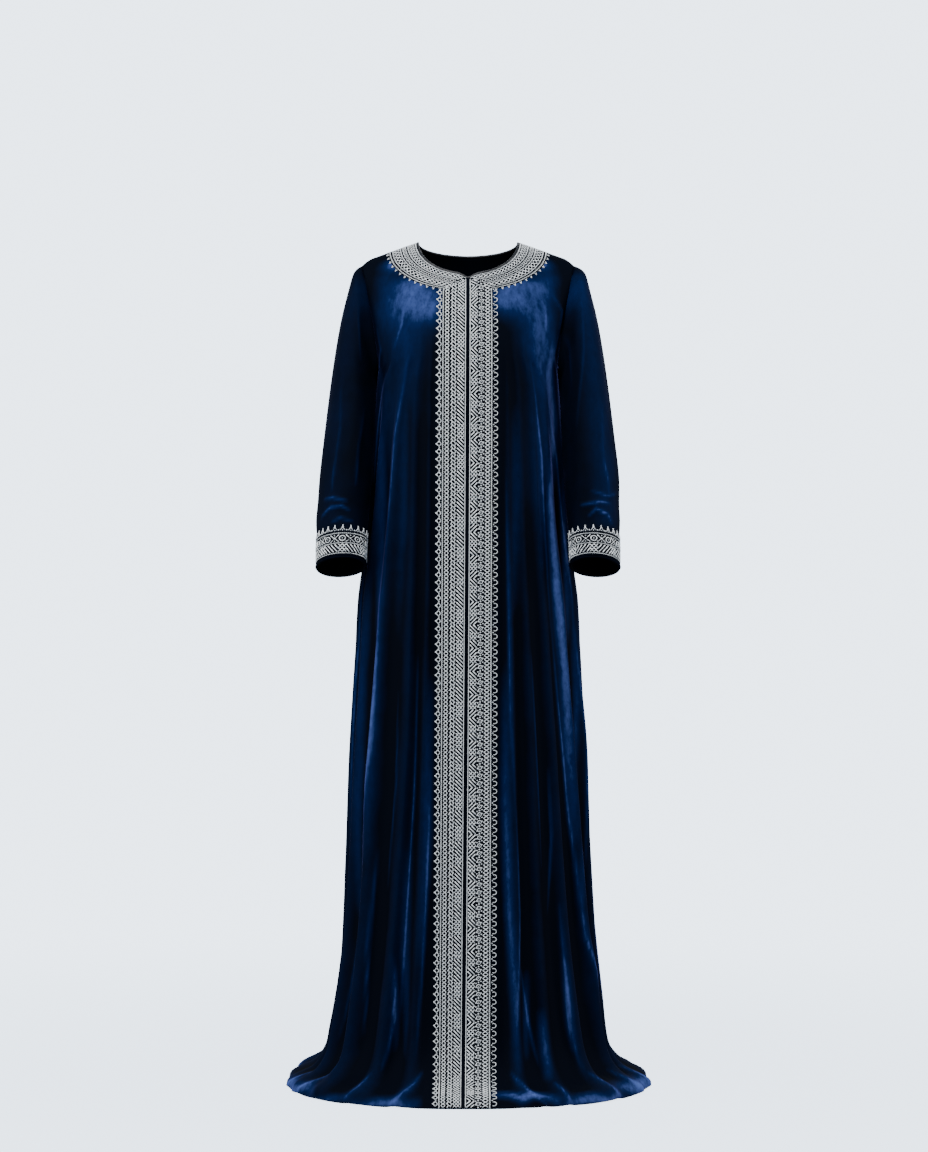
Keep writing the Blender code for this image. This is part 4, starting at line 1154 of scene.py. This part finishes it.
class Stitchwork:
    """Raised stitches drawn flat, in millimetres along a band, across it and above it."""

    def __init__(self, keep=lambda along, across: True, rise=1.0):
        self.rise = rise
        self.points = []
        self.faces = []
        self.keep = keep
        self.count = 0

    def add(self, points, faces):
        """Adds one closed stitch."""
        self.points.append(points)
        self.faces += [tuple(self.count + index for index in face) for face in faces]
        self.count += len(points)

    def thread(self, line, width, height=THREAD_RIDGE):
        """A laid thread along a line, ridged in the middle."""
        line = np.asarray(line, dtype=float)
        if not self.keep(*line.mean(axis=0)):
            return
        way = np.gradient(line, axis=0)
        way /= np.hypot(way[:, 0], way[:, 1])[:, None]
        side = np.column_stack([-way[:, 1], way[:, 0]]) * width / 2
        top = line.copy()
        top[0] += way[0] * width * THREAD_TAPER
        top[-1] -= way[-1] * width * THREAD_TAPER
        low = np.full((len(line), 1), STITCH_FOOT)
        high = np.full((len(line), 1), height)
        rings = np.stack([np.hstack([line + side, low]), np.hstack([top, high]),
                          np.hstack([line - side, low])], axis=1)
        last = 3 * (len(line) - 1)
        faces = [(0, 1, 2)]
        for a in range(0, last, 3):
            faces += [(a, a + 3, a + 4, a + 1), (a + 1, a + 4, a + 5, a + 2), (a + 2, a + 5, a + 3, a)]
        faces.append((last + 2, last + 1, last))
        self.add(rings.reshape(-1, 3), faces)

    def bead(self, along, across, radius, sides=6):
        """A small knot or bead."""
        if self.keep(along, across):
            foot = oval(along, across, radius, radius, STITCH_FOOT, sides)
            faces = [(i, (i + 1) % sides, sides) for i in range(sides)]
            faces.append(tuple(reversed(range(sides))))
            self.add(np.vstack([foot, [[along, across, BEAD_TOP]]]), faces)

    def ring(self, along, across, radius, width, stretch=1.0, lean=0.0, sides=8):
        """A loop of thread."""
        if not self.keep(along, across):
            return
        rims = []
        for reach, level in ((radius + width / 2, STITCH_FOOT), (radius, THREAD_RIDGE),
                             (radius - width / 2, STITCH_FOOT)):
            rims.append(oval(along, across, reach + radius * (stretch - 1.0), reach, level, sides, lean))
        faces = []
        for step in range(sides):
            a, b = 3 * step, 3 * ((step + 1) % sides)
            faces += [(a, b, b + 1, a + 1), (a + 1, b + 1, b + 2, a + 2), (a + 2, b + 2, b, a)]
        self.add(np.stack(rims, axis=1).reshape(-1, 3), faces)

    def rope(self, begin, end, across, width):
        """A twisted cord of short slanting stitches."""
        slant = width * 0.38
        for along in np.arange(begin, end, ROPE_PITCH):
            self.thread([(along, across - slant), (along + ROPE_PITCH * 1.15, across + slant)],
                        width * 0.62, ROPE_RIDGE)

    def bars(self, begin, end, low, high, lean, pitch=BAR_PITCH, width=2.3):
        """Parallel slanting bars between two levels."""
        run = (high - low) * lean
        first = begin + min(0.0, -run)
        for along in np.arange(first, end + max(0.0, -run), pitch):
            ends = [np.clip((stop - along) / run, 0.0, 1.0) for stop in (begin, end)]
            if abs(ends[0] - ends[1]) * (high - low) > width:
                line = [(along + share * run, low + share * (high - low)) for share in sorted(ends)]
                self.thread(line, width)

    def lattice(self, begin, end, low, high, cell=BAR_PITCH, width=1.5):
        """Crossing diagonals, knotted where they cross, with dark eyes between them."""
        rows = max(1, round((high - low) / cell))
        step = (high - low) / rows
        for along in np.arange(begin, end - 0.1, cell):
            for row in range(rows):
                base = low + row * step
                self.thread([(along, base), (along + cell, base + step)], width, NET_RIDGE)
                self.thread([(along + cell, base), (along, base + step)], width, NET_RIDGE)
                self.bead(along + cell / 2, base + step / 2, width * 0.7, sides=5)

    def chain(self, begin, end, across, half_width, period, width):
        """Two threads that cross again and again."""
        for start in np.arange(begin, end - 0.1, period / 2):
            steps = np.linspace(0.0, period / 2, 5)
            swing = half_width * np.sin(math.pi * steps / (period / 2))
            for way in (1.0, -1.0):
                self.thread(np.column_stack([start + steps, across + way * swing]), width)

    def mesh(self, strip):
        """Points in space and faces of all stitches."""
        return strip.at(np.concatenate(self.points) * (1.0, 1.0, self.rise)), self.faces


def front_strip(side):
    """The part of a front panel that carries its band, from the neck corner down."""
    grids, normals, _ = cloth()
    grid = grids["front", side]
    columns = int(round(TOOTH_REACH / NEAR_PITCH["front"])) + 3
    corner = row_nearest(row_places(), NECK_BAND_ROW)
    run = running(grid[::-1, columns // 2])
    along = run - run[len(grid) - 1 - corner]
    across = running(grid[corner // 2, :columns])
    return Strip(grid[::-1, :columns], normals["front", side][::-1, :columns], along, across)


def round_neck(read):
    """Joins what is read from each panel half into one run round the neck."""
    parts = []
    for face, side, turned in NECK_ROUND:
        part = read(face, side)
        part = part[::-1] if turned else part
        parts.append(part[1:] if parts else part)
    return np.concatenate(parts)


def neck_strip():
    """The cloth round the neck: along from the right front corner, across from the neck edge."""
    grids, normals, _ = cloth()
    low = row_nearest(row_places(), NECK_TEETH_ROW)

    def above(face, side):
        both = np.concatenate([grids[face, side], normals[face, side]], axis=2)[low:]
        return both[::-1].transpose(1, 0, 2)

    both = round_neck(above)
    rows = both.shape[1]
    along = running(both[:, rows // 3, :3])
    below = NECK_ROW_STEP * np.arange(1, rows - YOKE_STEPS) / YOKE_STEPS
    across = np.concatenate([np.linspace(0.0, NECK_BAND_WIDTH, YOKE_STEPS + 1),
                             NECK_BAND_WIDTH + below])
    return Strip(both[:, :, :3], both[:, :, 3:], along, across)


def cuff_strip(side):
    """The cloth round a sleeve end: along round it, across from its foot up."""
    rings, normals, places, _ = sleeve(side)
    top, cord, foot = (row_nearest(places, ring) for ring in
                       (CUFF_TOOTH_RING - 1, CUFF_CORD_RING, CUFF_FOOT_RING))
    both = np.concatenate([rings, normals], axis=2)
    both = np.concatenate([both, both[:, :1]], axis=1)
    both = both[top:foot + 1][::-1].transpose(1, 0, 2)
    along = running(both[:, (foot - cord) // 2, :3])
    across = running(both[both.shape[0] // 4, :, :3])
    return Strip(both[:, :, :3], both[:, :, 3:], along, across)


def ground_mesh(strip, begin, end, low, high):
    """Thin woven ground of a band; begin and end give its ends at each distance across."""
    step_along, step_across = GROUND_STEPS
    across = np.linspace(low, high, max(2, round((high - low) / step_across) + 1))
    first = np.array([begin(value) for value in across])
    last = np.array([end(value) for value in across])
    count = max(2, round(float((last - first).max()) / step_along))
    share = np.linspace(0.0, 1.0, count + 1)[:, None]
    along = first * (1 - share) + last * share
    flat = np.stack([along, np.broadcast_to(across, along.shape), np.full(along.shape, GROUND_LIFT)],
                    axis=2)
    outer = strip.at(flat.reshape(-1, 3)).reshape(along.shape + (3,))
    flat[:, :, 2] += 1.0
    above = strip.at(flat.reshape(-1, 3)).reshape(along.shape + (3,))
    return shell_mesh(outer, unit(above - outer), GROUND_THICKNESS)


def add_band(name, drawn, settings, node):
    """One stitched band: its ground and all its stitches in one piece."""
    work, strip, ground = drawn
    points, faces = work.mesh(strip)
    corners = (np.array([points[face[number]] for face in faces]) for number in range(3))
    first, second, third = corners
    if np.einsum("ij,ij->i", first, np.cross(second, third)).sum() < 0.0:
        faces = [face[::-1] for face in faces]
    ground_points, ground_faces, _ = ground
    offset = len(points)
    every = faces + [[offset + index for index in face] for face in ground_faces]
    ids = np.zeros(len(every), dtype=np.int32)
    ids[len(faces):] = 1
    finishes = [silver_thread(settings), band_ground(settings)]
    piece = add_mesh(name, np.concatenate([points, ground_points]), every, finishes, ids)
    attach(piece, "root")
    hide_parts(node)
    return piece


def evenly(length, pitch):
    """How many stitches of about one pitch fill a length, and their exact pitch."""
    count = int(round(length / pitch))
    return count, length / count


def right_rows(work, number, along):
    """One repeat of the right front: bars or net, a leaning rosette with sprigs, and a chain."""
    after = along + TOOTH_PITCH
    if number % 4 in (0, 1) or number % 12 == 7:
        work.bars(along, after, *FRONT_BARS, -1.0)
    else:
        work.lattice(along, after, *FRONT_NET)
    work.ring(along + TOOTH_PITCH / 2, FRONT_ROSETTE, 3.0, 1.8, stretch=1.5, lean=-0.8)
    work.thread([(along - 0.8, 19.6), (along + 3.4, 22.0)], 1.9)
    work.thread([(after + 0.8, 28.2), (along + 9.8, 25.8)], 1.9)
    for shift, across, radius in ((1.2, 25.6, 1.5), (12.0, 21.8, 1.5), (6.6, 18.8, 1.2),
                                  (6.6, 29.0, 1.2)):
        work.bead(along + shift, across, radius)
    work.chain(along, after, FRONT_CHAIN, 3.3, TOOTH_PITCH, width=1.7)


def left_rows(work, number, along):
    """One repeat of the left front: bars that turn direction or net, rosettes, and net."""
    middle = along + TOOTH_PITCH / 2
    after = along + TOOTH_PITCH
    if number % 3 == 1:
        work.lattice(along, after, *FRONT_NET)
    else:
        work.bars(along, after, *FRONT_BARS, 1.0 if number % 6 < 3 else -1.0)
    for base in (along, middle):
        work.bead(base + 1.6, 19.8, 1.6)
        work.bead(base + 4.9, 28.0, 1.6)
    work.ring(middle, FRONT_ROSETTE, 3.2, 1.6)
    work.bead(middle, FRONT_ROSETTE, 1.0)
    work.bead(along, FRONT_ROSETTE, 1.8)
    work.lattice(along, after, *FRONT_LEFT_NET, width=1.6)


def right_tooth(work, along, pitch):
    """A diamond with a knot on its tip."""
    middle = along + pitch / 2
    for foot, tip in ((44.2, 48.2), (52.4, 48.4)):
        work.thread([(middle, foot), (along + 2.0, tip)], 1.5)
        work.thread([(middle, foot), (along + pitch - 2.0, tip)], 1.5)
    work.bead(middle, 52.8, 1.7)
    work.bead(along, 47.4, 1.5)


def left_tooth(work, along, pitch):
    """An open loop of thread."""
    turn = np.linspace(-2.1, 2.1, 8)
    loop = [along + pitch / 2 + 3.8 * np.sin(turn), 48.4 + 4.2 * np.cos(turn)]
    work.thread(np.column_stack(loop), 1.4)
    work.bead(along, 45.6, 1.3)


def stitch_front(side):
    """Draws the band of one front: edge cord, its own rows, outer cord and toothed edge."""
    strip = front_strip(side)
    bottom = strip.along[-1] - 1.0
    width = BAND_WIDTH / MM
    top = strip.along[0]

    def begin(across):
        return top * (1.0 - min(across, width) / width)

    work = Stitchwork(lambda along, across: begin(across) + 0.4 <= along <= bottom - 0.6)
    cord = np.linspace(top * 0.9, bottom - 1.0, 240)
    work.thread(np.column_stack([cord, np.full(240, FRONT_EDGE_CORD)]), 1.7, CORD_RIDGE)
    for across in np.arange(8.0, FRONT_CORD, 5.6):
        work.bead(begin(across) + 2.0, across, 1.6)
    work.rope(top - TOOTH_PITCH, bottom, FRONT_CORD, 2.4)
    rows, tooth = (right_rows, right_tooth) if side == "right" else (left_rows, left_tooth)
    for number, along in enumerate(np.arange(-4 * TOOTH_PITCH, bottom, TOOTH_PITCH)):
        rows(work, number, along)
    count, pitch = evenly(bottom - 2.0, TOOTH_PITCH)
    for number in range(count):
        tooth(work, 1.0 + number * pitch, pitch)
    return work, strip, ground_mesh(strip, begin, lambda across: bottom, EDGE_SHOWN / MM, width)


def stitch_neck():
    """Draws the neck band between its two slanting corner seams."""
    strip = neck_strip()
    length = strip.along[-1]
    width = NECK_BAND_WIDTH / MM
    corner = BAND_WIDTH / MM

    def begin(across):
        return EDGE_SHOWN / MM + (corner - EDGE_SHOWN / MM) * min(across, width) / width

    def keep(along, across):
        return begin(across) + 0.3 <= along <= length - begin(across) - 0.3

    work = Stitchwork(keep, NECK_RISE)
    for across in NECK_CORDS:
        work.rope(0.0, length, across, 2.1)
    for low, high in NECK_NETS:
        work.lattice(0.0, length, low, high, evenly(length, NECK_NET_PITCH)[1], width=2.1)
    step = evenly(length, NECK_TOOTH_PITCH)[1]
    for along in np.arange(0.0, length - 0.1, step):
        work.ring(along + step / 2, NECK_ROSETTE, 3.3, 1.6)
        work.bead(along, 19.6, 1.5)
        work.bead(along, 24.6, 1.5)
    foot, tip, knot = NECK_TEETH
    count, pitch = evenly(length - 2.0 * corner, NECK_TOOTH_PITCH)
    for number in range(count):
        middle = corner + (number + 0.5) * pitch
        work.thread([(middle - 2.0, foot), (middle, tip)], 1.2)
        work.thread([(middle, tip), (middle + 2.0, foot)], 1.2)
        work.bead(middle, knot, 1.4)
    return work, strip, ground_mesh(strip, begin, lambda across: length - begin(across), 0.4, width)


def stitch_cuff(side):
    """Draws the band round one sleeve end."""
    strip = cuff_strip(side)
    length = strip.along[-1]
    work = Stitchwork()
    for across in CUFF_CORDS:
        work.rope(0.0, length - 1.0, across, 1.6)
    count, step = evenly(length, CUFF_TOOTH_PITCH)
    for number in range(count):
        along = number * step
        middle = along + step / 2
        after = along + step
        if number % 3 == 2:
            work.lattice(along, after, *CUFF_BARS, step / 2, width=1.7)
        else:
            work.bars(along, after, *CUFF_BARS, 0.9, pitch=step / 2, width=2.4)
        if number % 2:
            work.ring(middle, CUFF_ROSETTE, 4.4, 2.0, stretch=1.2, sides=10)
            work.bead(middle, CUFF_ROSETTE, 1.3)
        else:
            work.thread([(along - 1.0, 21.4), (after + 1.0, 33.8)], 2.0)
            work.thread([(after + 1.0, 21.4), (along - 1.0, 33.8)], 2.0)
            for across, radius in ((CUFF_ROSETTE, 1.9), (32.6, 1.3), (22.6, 1.3)):
                work.bead(middle, across, radius)
        for way in (-1.0, 1.0):
            work.thread([(middle + way * 4.4, 41.4), (middle + way * 1.2, 45.4), (middle, 49.6)], 1.3)
        for place, across, radius in ((middle, 50.4, 1.4), (along, 42.0, 1.5), (middle, 41.6, 1.2)):
            work.bead(place, across, radius)
    return work, strip, ground_mesh(strip, lambda across: 0.0, lambda across: length, 0.3, 39.2)


def colour_setting(name, description, code):
    """A colour that a user may change, with a hex code as its default."""
    return bpy.props.FloatVectorProperty(name=name, description=description, default=srgb(code),
                                         subtype="COLOR", size=3, min=0.0, max=1.0)


def settings_of(context):
    """The robe's own settings in this scene."""
    return context.scene.robe


class RobeSettings(bpy.types.PropertyGroup):
    """Sizes and colours that a user would change."""

    velvet_dark: colour_setting("Velvet facing the eye", "Colour of the pile seen end on", "#01040D")
    # Painted light: the next two colours are the velvet's painted half light and painted highlight
    velvet_painted_half_light: colour_setting("Velvet painted half light", "Colour painted where the velvet is half lit",
                                  "#04163A")
    velvet_painted_highlight: colour_setting("Velvet painted highlight", "Colour painted where the velvet catches the light",
                                "#425590")
    nap_scale: bpy.props.FloatProperty(
        name="Nap clouds", description="Clouds of pressed pile in each metre", default=11.0, min=1.0)
    thread_colour: colour_setting("Silver thread", "Colour of the raised stitches", "#F4F9FC")
    filling_colour: colour_setting("Filling thread",
                                   "Colour of the thinner thread between the stitches", "#2A3142")
    ground_colour: colour_setting("Ground", "Colour of the cloth under the stitches", "#03060D")
    piping_radius: bpy.props.FloatProperty(
        name="Piping radius", description="Half the thickness of the rolled neck edge",
        default=0.0020, unit="LENGTH", min=0.0005)
    camera_distance: bpy.props.FloatProperty(
        name="Camera distance", description="How far the camera stands from the robe",
        default=6.2, unit="LENGTH", min=1.0)
    frame_height: bpy.props.FloatProperty(
        name="Frame height", description="Height that the picture takes in at the robe",
        default=2.016, unit="LENGTH", min=0.1)
    fill_light: bpy.props.FloatProperty(
        name="Fill light", description="Strength of the soft light from all round",
        default=0.45, min=0.0)
    backdrop_light: bpy.props.FloatProperty(
        name="Backdrop light", description="How brightly the backdrop itself is lit",
        default=4.8, min=0.0)
    backdrop_colour: colour_setting("Backdrop", "Colour of the studio floor and backdrop", "#D5E3F3")


class ROBE_OT_fronts(bpy.types.Operator):
    """Adds the two velvet fronts with their folds"""

    bl_idname = "robe.add_fronts"
    bl_label = "Fronts"

    def execute(self, context):
        grids, normals, painted_lights = cloth()
        finish = velvet(settings_of(context))
        for side in WEARER_SIDE:
            outer = pulled(grids["front", side], 0, 1, SEAM_GAP / 2)
            add_sheet("front_cloth_" + side, outer, normals["front", side], finish, "front_" + side,
                      painted_lights["front", side])
        return {"FINISHED"}


class ROBE_OT_back(bpy.types.Operator):
    """Adds the velvet back with its folds"""

    bl_idname = "robe.add_back"
    bl_label = "Back"

    def execute(self, context):
        outer, away, pile = (np.concatenate([source["back", "right"][:, :0:-1], source["back", "left"]],
                                            axis=1) for source in cloth())
        for column, following in ((0, 1), (-1, -2)):
            outer = pulled(outer, column, following, SEAM_GAP)
        add_sheet("back_cloth", outer, away, velvet(settings_of(context)), "back", pile)
        return {"FINISHED"}


class ROBE_OT_sleeves(bpy.types.Operator):
    """Adds the two velvet sleeves with the creases above their cuffs"""

    bl_idname = "robe.add_sleeves"
    bl_label = "Sleeves"

    def execute(self, context):
        finish = velvet(settings_of(context))
        for side in WEARER_SIDE:
            rings, normals, _, pile = sleeve(side)
            rings = rings.copy()
            rings[0] += unit(rings[1] - rings[0]) * SEAM_GAP
            add_sheet("sleeve_cloth_" + side, rings, normals, finish, "sleeve_" + side,
                      pile, wrap=True)
        return {"FINISHED"}


class ROBE_OT_piping(bpy.types.Operator):
    """Adds the rolled binding along the neck edge"""

    bl_idname = "robe.add_piping"
    bl_label = "Neck piping"

    def execute(self, context):
        settings = settings_of(context)
        grids, normals, _ = cloth()

        def edge_line(face, side):
            edge = grids[face, side][-1]
            up = unit(edge - grids[face, side][-3])
            out = normals[face, side][-1]
            middle = edge + up * settings.piping_radius * 0.9 - out * WALL / 2
            return np.concatenate([middle, up, out], axis=1)

        rail = round_neck(edge_line)
        turn = np.arange(PIPING_SIDES) * 2.0 * math.pi / PIPING_SIDES
        share, rate = PIPING_TWIST
        radius = settings.piping_radius * (1.0 + share * np.sin(running(rail[:, :3]) * rate))
        across = (np.cos(turn)[None, :, None] * rail[:, None, 3:6]
                  + np.sin(turn)[None, :, None] * rail[:, None, 6:])
        rings = rail[:, None, :3] + radius[:, None, None] * across
        rings[0, :, 0] = np.minimum(rings[0, :, 0], -SEAM_GAP)
        rings[-1, :, 0] = np.maximum(rings[-1, :, 0], SEAM_GAP)
        points = rings.reshape(-1, 3)
        index = np.arange(len(points)).reshape(-1, PIPING_SIDES)
        ends = [index[0].tolist(), index[-1][::-1].tolist()]
        index = np.concatenate([index, index[:, :1]], axis=1)
        quads = np.stack([index[:-1, :-1], index[1:, :-1], index[1:, 1:], index[:-1, 1:]], axis=2)
        faces = quads.reshape(-1, 4).tolist() + ends
        piece = add_mesh("neck_piping", points, faces, [piping_cloth(settings)])
        bpy.ops.object.select_all(action="DESELECT")
        piece.select_set(True)
        context.view_layer.objects.active = piece
        bpy.ops.object.mode_set(mode="EDIT")
        bpy.ops.mesh.select_all(action="SELECT")
        bpy.ops.mesh.normals_make_consistent(inside=False)
        bpy.ops.object.mode_set(mode="OBJECT")
        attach(piece, "root")
        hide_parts("neck_binding")
        return {"FINISHED"}


class ROBE_OT_front_bands(bpy.types.Operator):
    """Adds the stitched silver bands down both fronts"""

    bl_idname = "robe.add_front_bands"
    bl_label = "Front bands"

    def execute(self, context):
        for side in WEARER_SIDE:
            add_band("front_stitching_" + side, stitch_front(side), settings_of(context),
                     "front_band_" + side)
        return {"FINISHED"}


class ROBE_OT_neck_band(bpy.types.Operator):
    """Adds the stitched silver band round the neck"""

    bl_idname = "robe.add_neck_band"
    bl_label = "Neck band"

    def execute(self, context):
        add_band("neck_stitching", stitch_neck(), settings_of(context), "neck_band")
        return {"FINISHED"}


class ROBE_OT_cuff_bands(bpy.types.Operator):
    """Adds the stitched silver bands round both sleeve ends"""

    bl_idname = "robe.add_cuff_bands"
    bl_label = "Cuff bands"

    def execute(self, context):
        for side in WEARER_SIDE:
            add_band("cuff_stitching_" + side, stitch_cuff(side), settings_of(context),
                     "cuff_band_" + side)
        return {"FINISHED"}


class ROBE_OT_declare(bpy.types.Operator):
    """A step that does nothing: no cut sizes are stated"""

    bl_idname = "robe.declare_sheets"
    bl_label = "Cut sizes"

    def execute(self, context):
        return {"FINISHED"}


def add_floor(settings):
    """A round painted floor that fades out into the backdrop."""
    bpy.ops.object.select_all(action="DESELECT")
    bpy.ops.mesh.primitive_circle_add(vertices=96, radius=FLOOR_RADIUS, fill_type="NGON",
                                      location=(0.0, 0.0, FLOOR))
    floor = bpy.context.object
    floor.name = "studio_floor"
    bpy.ops.object.transform_apply(location=True, rotation=False, scale=False)
    # Matt floor paint, in the colour of the backdrop
    finish, tree, place = new_material("painted_studio_floor")
    begins, ends, clearness = FLOOR_FADE
    flat = add_node(tree, "ShaderNodeVectorMath", {"operation": "MULTIPLY", 1: (1.0, 1.0, 0.0)},
                    {0: place})
    reach = add_node(tree, "ShaderNodeVectorMath", {"operation": "LENGTH"}, {0: flat.outputs[0]})
    fade = add_node(tree, "ShaderNodeMapRange",
                    {"interpolation_type": "SMOOTHSTEP", "From Min": begins, "From Max": ends,
                     "To Min": clearness}, {0: reach.outputs["Value"]})
    paint = add_node(tree, "ShaderNodeBsdfPrincipled",
                     {"Roughness": 0.75, "Base Color": (*settings.backdrop_colour, 1.0)})
    clear = add_node(tree, "ShaderNodeBsdfTransparent")
    mix = add_node(tree, "ShaderNodeMixShader",
                   links={0: fade.outputs[0], 1: paint.outputs[0], 2: clear.outputs[0]})
    add_node(tree, "ShaderNodeOutputMaterial", links={"Surface": mix.outputs[0]})
    floor.data.materials.append(finish)


def add_light(settings):
    """The lit backdrop and the soft boxes."""
    world = bpy.data.worlds.new("studio_backdrop")
    world.use_nodes = True
    backdrop = world.node_tree.nodes["Background"]
    backdrop.inputs["Color"].default_value = (*settings.backdrop_colour, 1.0)
    # The lit backdrop is brighter than the soft light that it gives the robe
    seen = add_node(world.node_tree, "ShaderNodeLightPath").outputs["Is Camera Ray"]
    strength = add_node(world.node_tree, "ShaderNodeMapRange",
                        {"To Min": settings.fill_light, "To Max": settings.backdrop_light}, {0: seen})
    world.node_tree.links.new(strength.outputs[0], backdrop.inputs["Strength"])
    bpy.context.scene.world = world
    for name, spot, aim, size, power in LAMPS:
        lamp = bpy.data.lights.new(name, "AREA")
        lamp.shape = "RECTANGLE"
        lamp.size, lamp.size_y = size
        lamp.energy = power
        holder = add_object(name, lamp)
        holder.location = spot
        way = np.array(aim) - np.array(spot)
        holder.rotation_euler = (math.atan2(math.hypot(way[0], way[1]), -way[2]), 0.0,
                                 math.atan2(-way[0], way[1]))


def add_camera(settings):
    """A long lens that looks straight at the front."""
    lens = bpy.data.cameras.new("studio_camera")
    lens.sensor_fit = "VERTICAL"
    lens.sensor_height = 36.0
    lens.lens = lens.sensor_height * settings.camera_distance / settings.frame_height
    lens.clip_end = 60.0
    camera = add_object("studio_camera", lens)
    camera.location = (CAMERA_AIM[0], -settings.camera_distance, CAMERA_AIM[1])
    camera.rotation_euler = (math.pi / 2, 0.0, 0.0)
    bpy.context.scene.camera = camera


class ROBE_OT_stage(bpy.types.Operator):
    """Adds the pale floor, the soft studio light and the camera"""

    bl_idname = "robe.add_stage"
    bl_label = "Stage"

    def execute(self, context):
        settings = settings_of(context)
        add_floor(settings)
        add_light(settings)
        add_camera(settings)
        return {"FINISHED"}


class ROBE_PT_panel(bpy.types.Panel):
    """Lists the steps that build the robe"""

    bl_idname = "ROBE_PT_panel"
    bl_label = "Velvet robe"
    bl_space_type = "VIEW_3D"
    bl_region_type = "UI"
    bl_category = "Robe"

    def draw(self, context):
        for step in STEPS:
            self.layout.operator("robe." + step)
        for name in RobeSettings.__annotations__:
            self.layout.prop(settings_of(context), name)


CLASSES = [RobeSettings, ROBE_OT_fronts, ROBE_OT_back, ROBE_OT_sleeves, ROBE_OT_piping,
           ROBE_OT_front_bands, ROBE_OT_neck_band, ROBE_OT_cuff_bands, ROBE_OT_declare, ROBE_OT_stage,
           ROBE_PT_panel]


def register():
    """Registers the robe's classes and settings."""
    for each in CLASSES:
        bpy.utils.register_class(each)
    bpy.types.Scene.robe = bpy.props.PointerProperty(type=RobeSettings)


def unregister():
    """Removes the robe's classes and settings."""
    del bpy.types.Scene.robe
    for each in reversed(CLASSES):
        bpy.utils.unregister_class(each)


def main():
    register()
    for step in STEPS:
        getattr(bpy.ops.robe, step)()


if __name__ == "__main__":
    main()
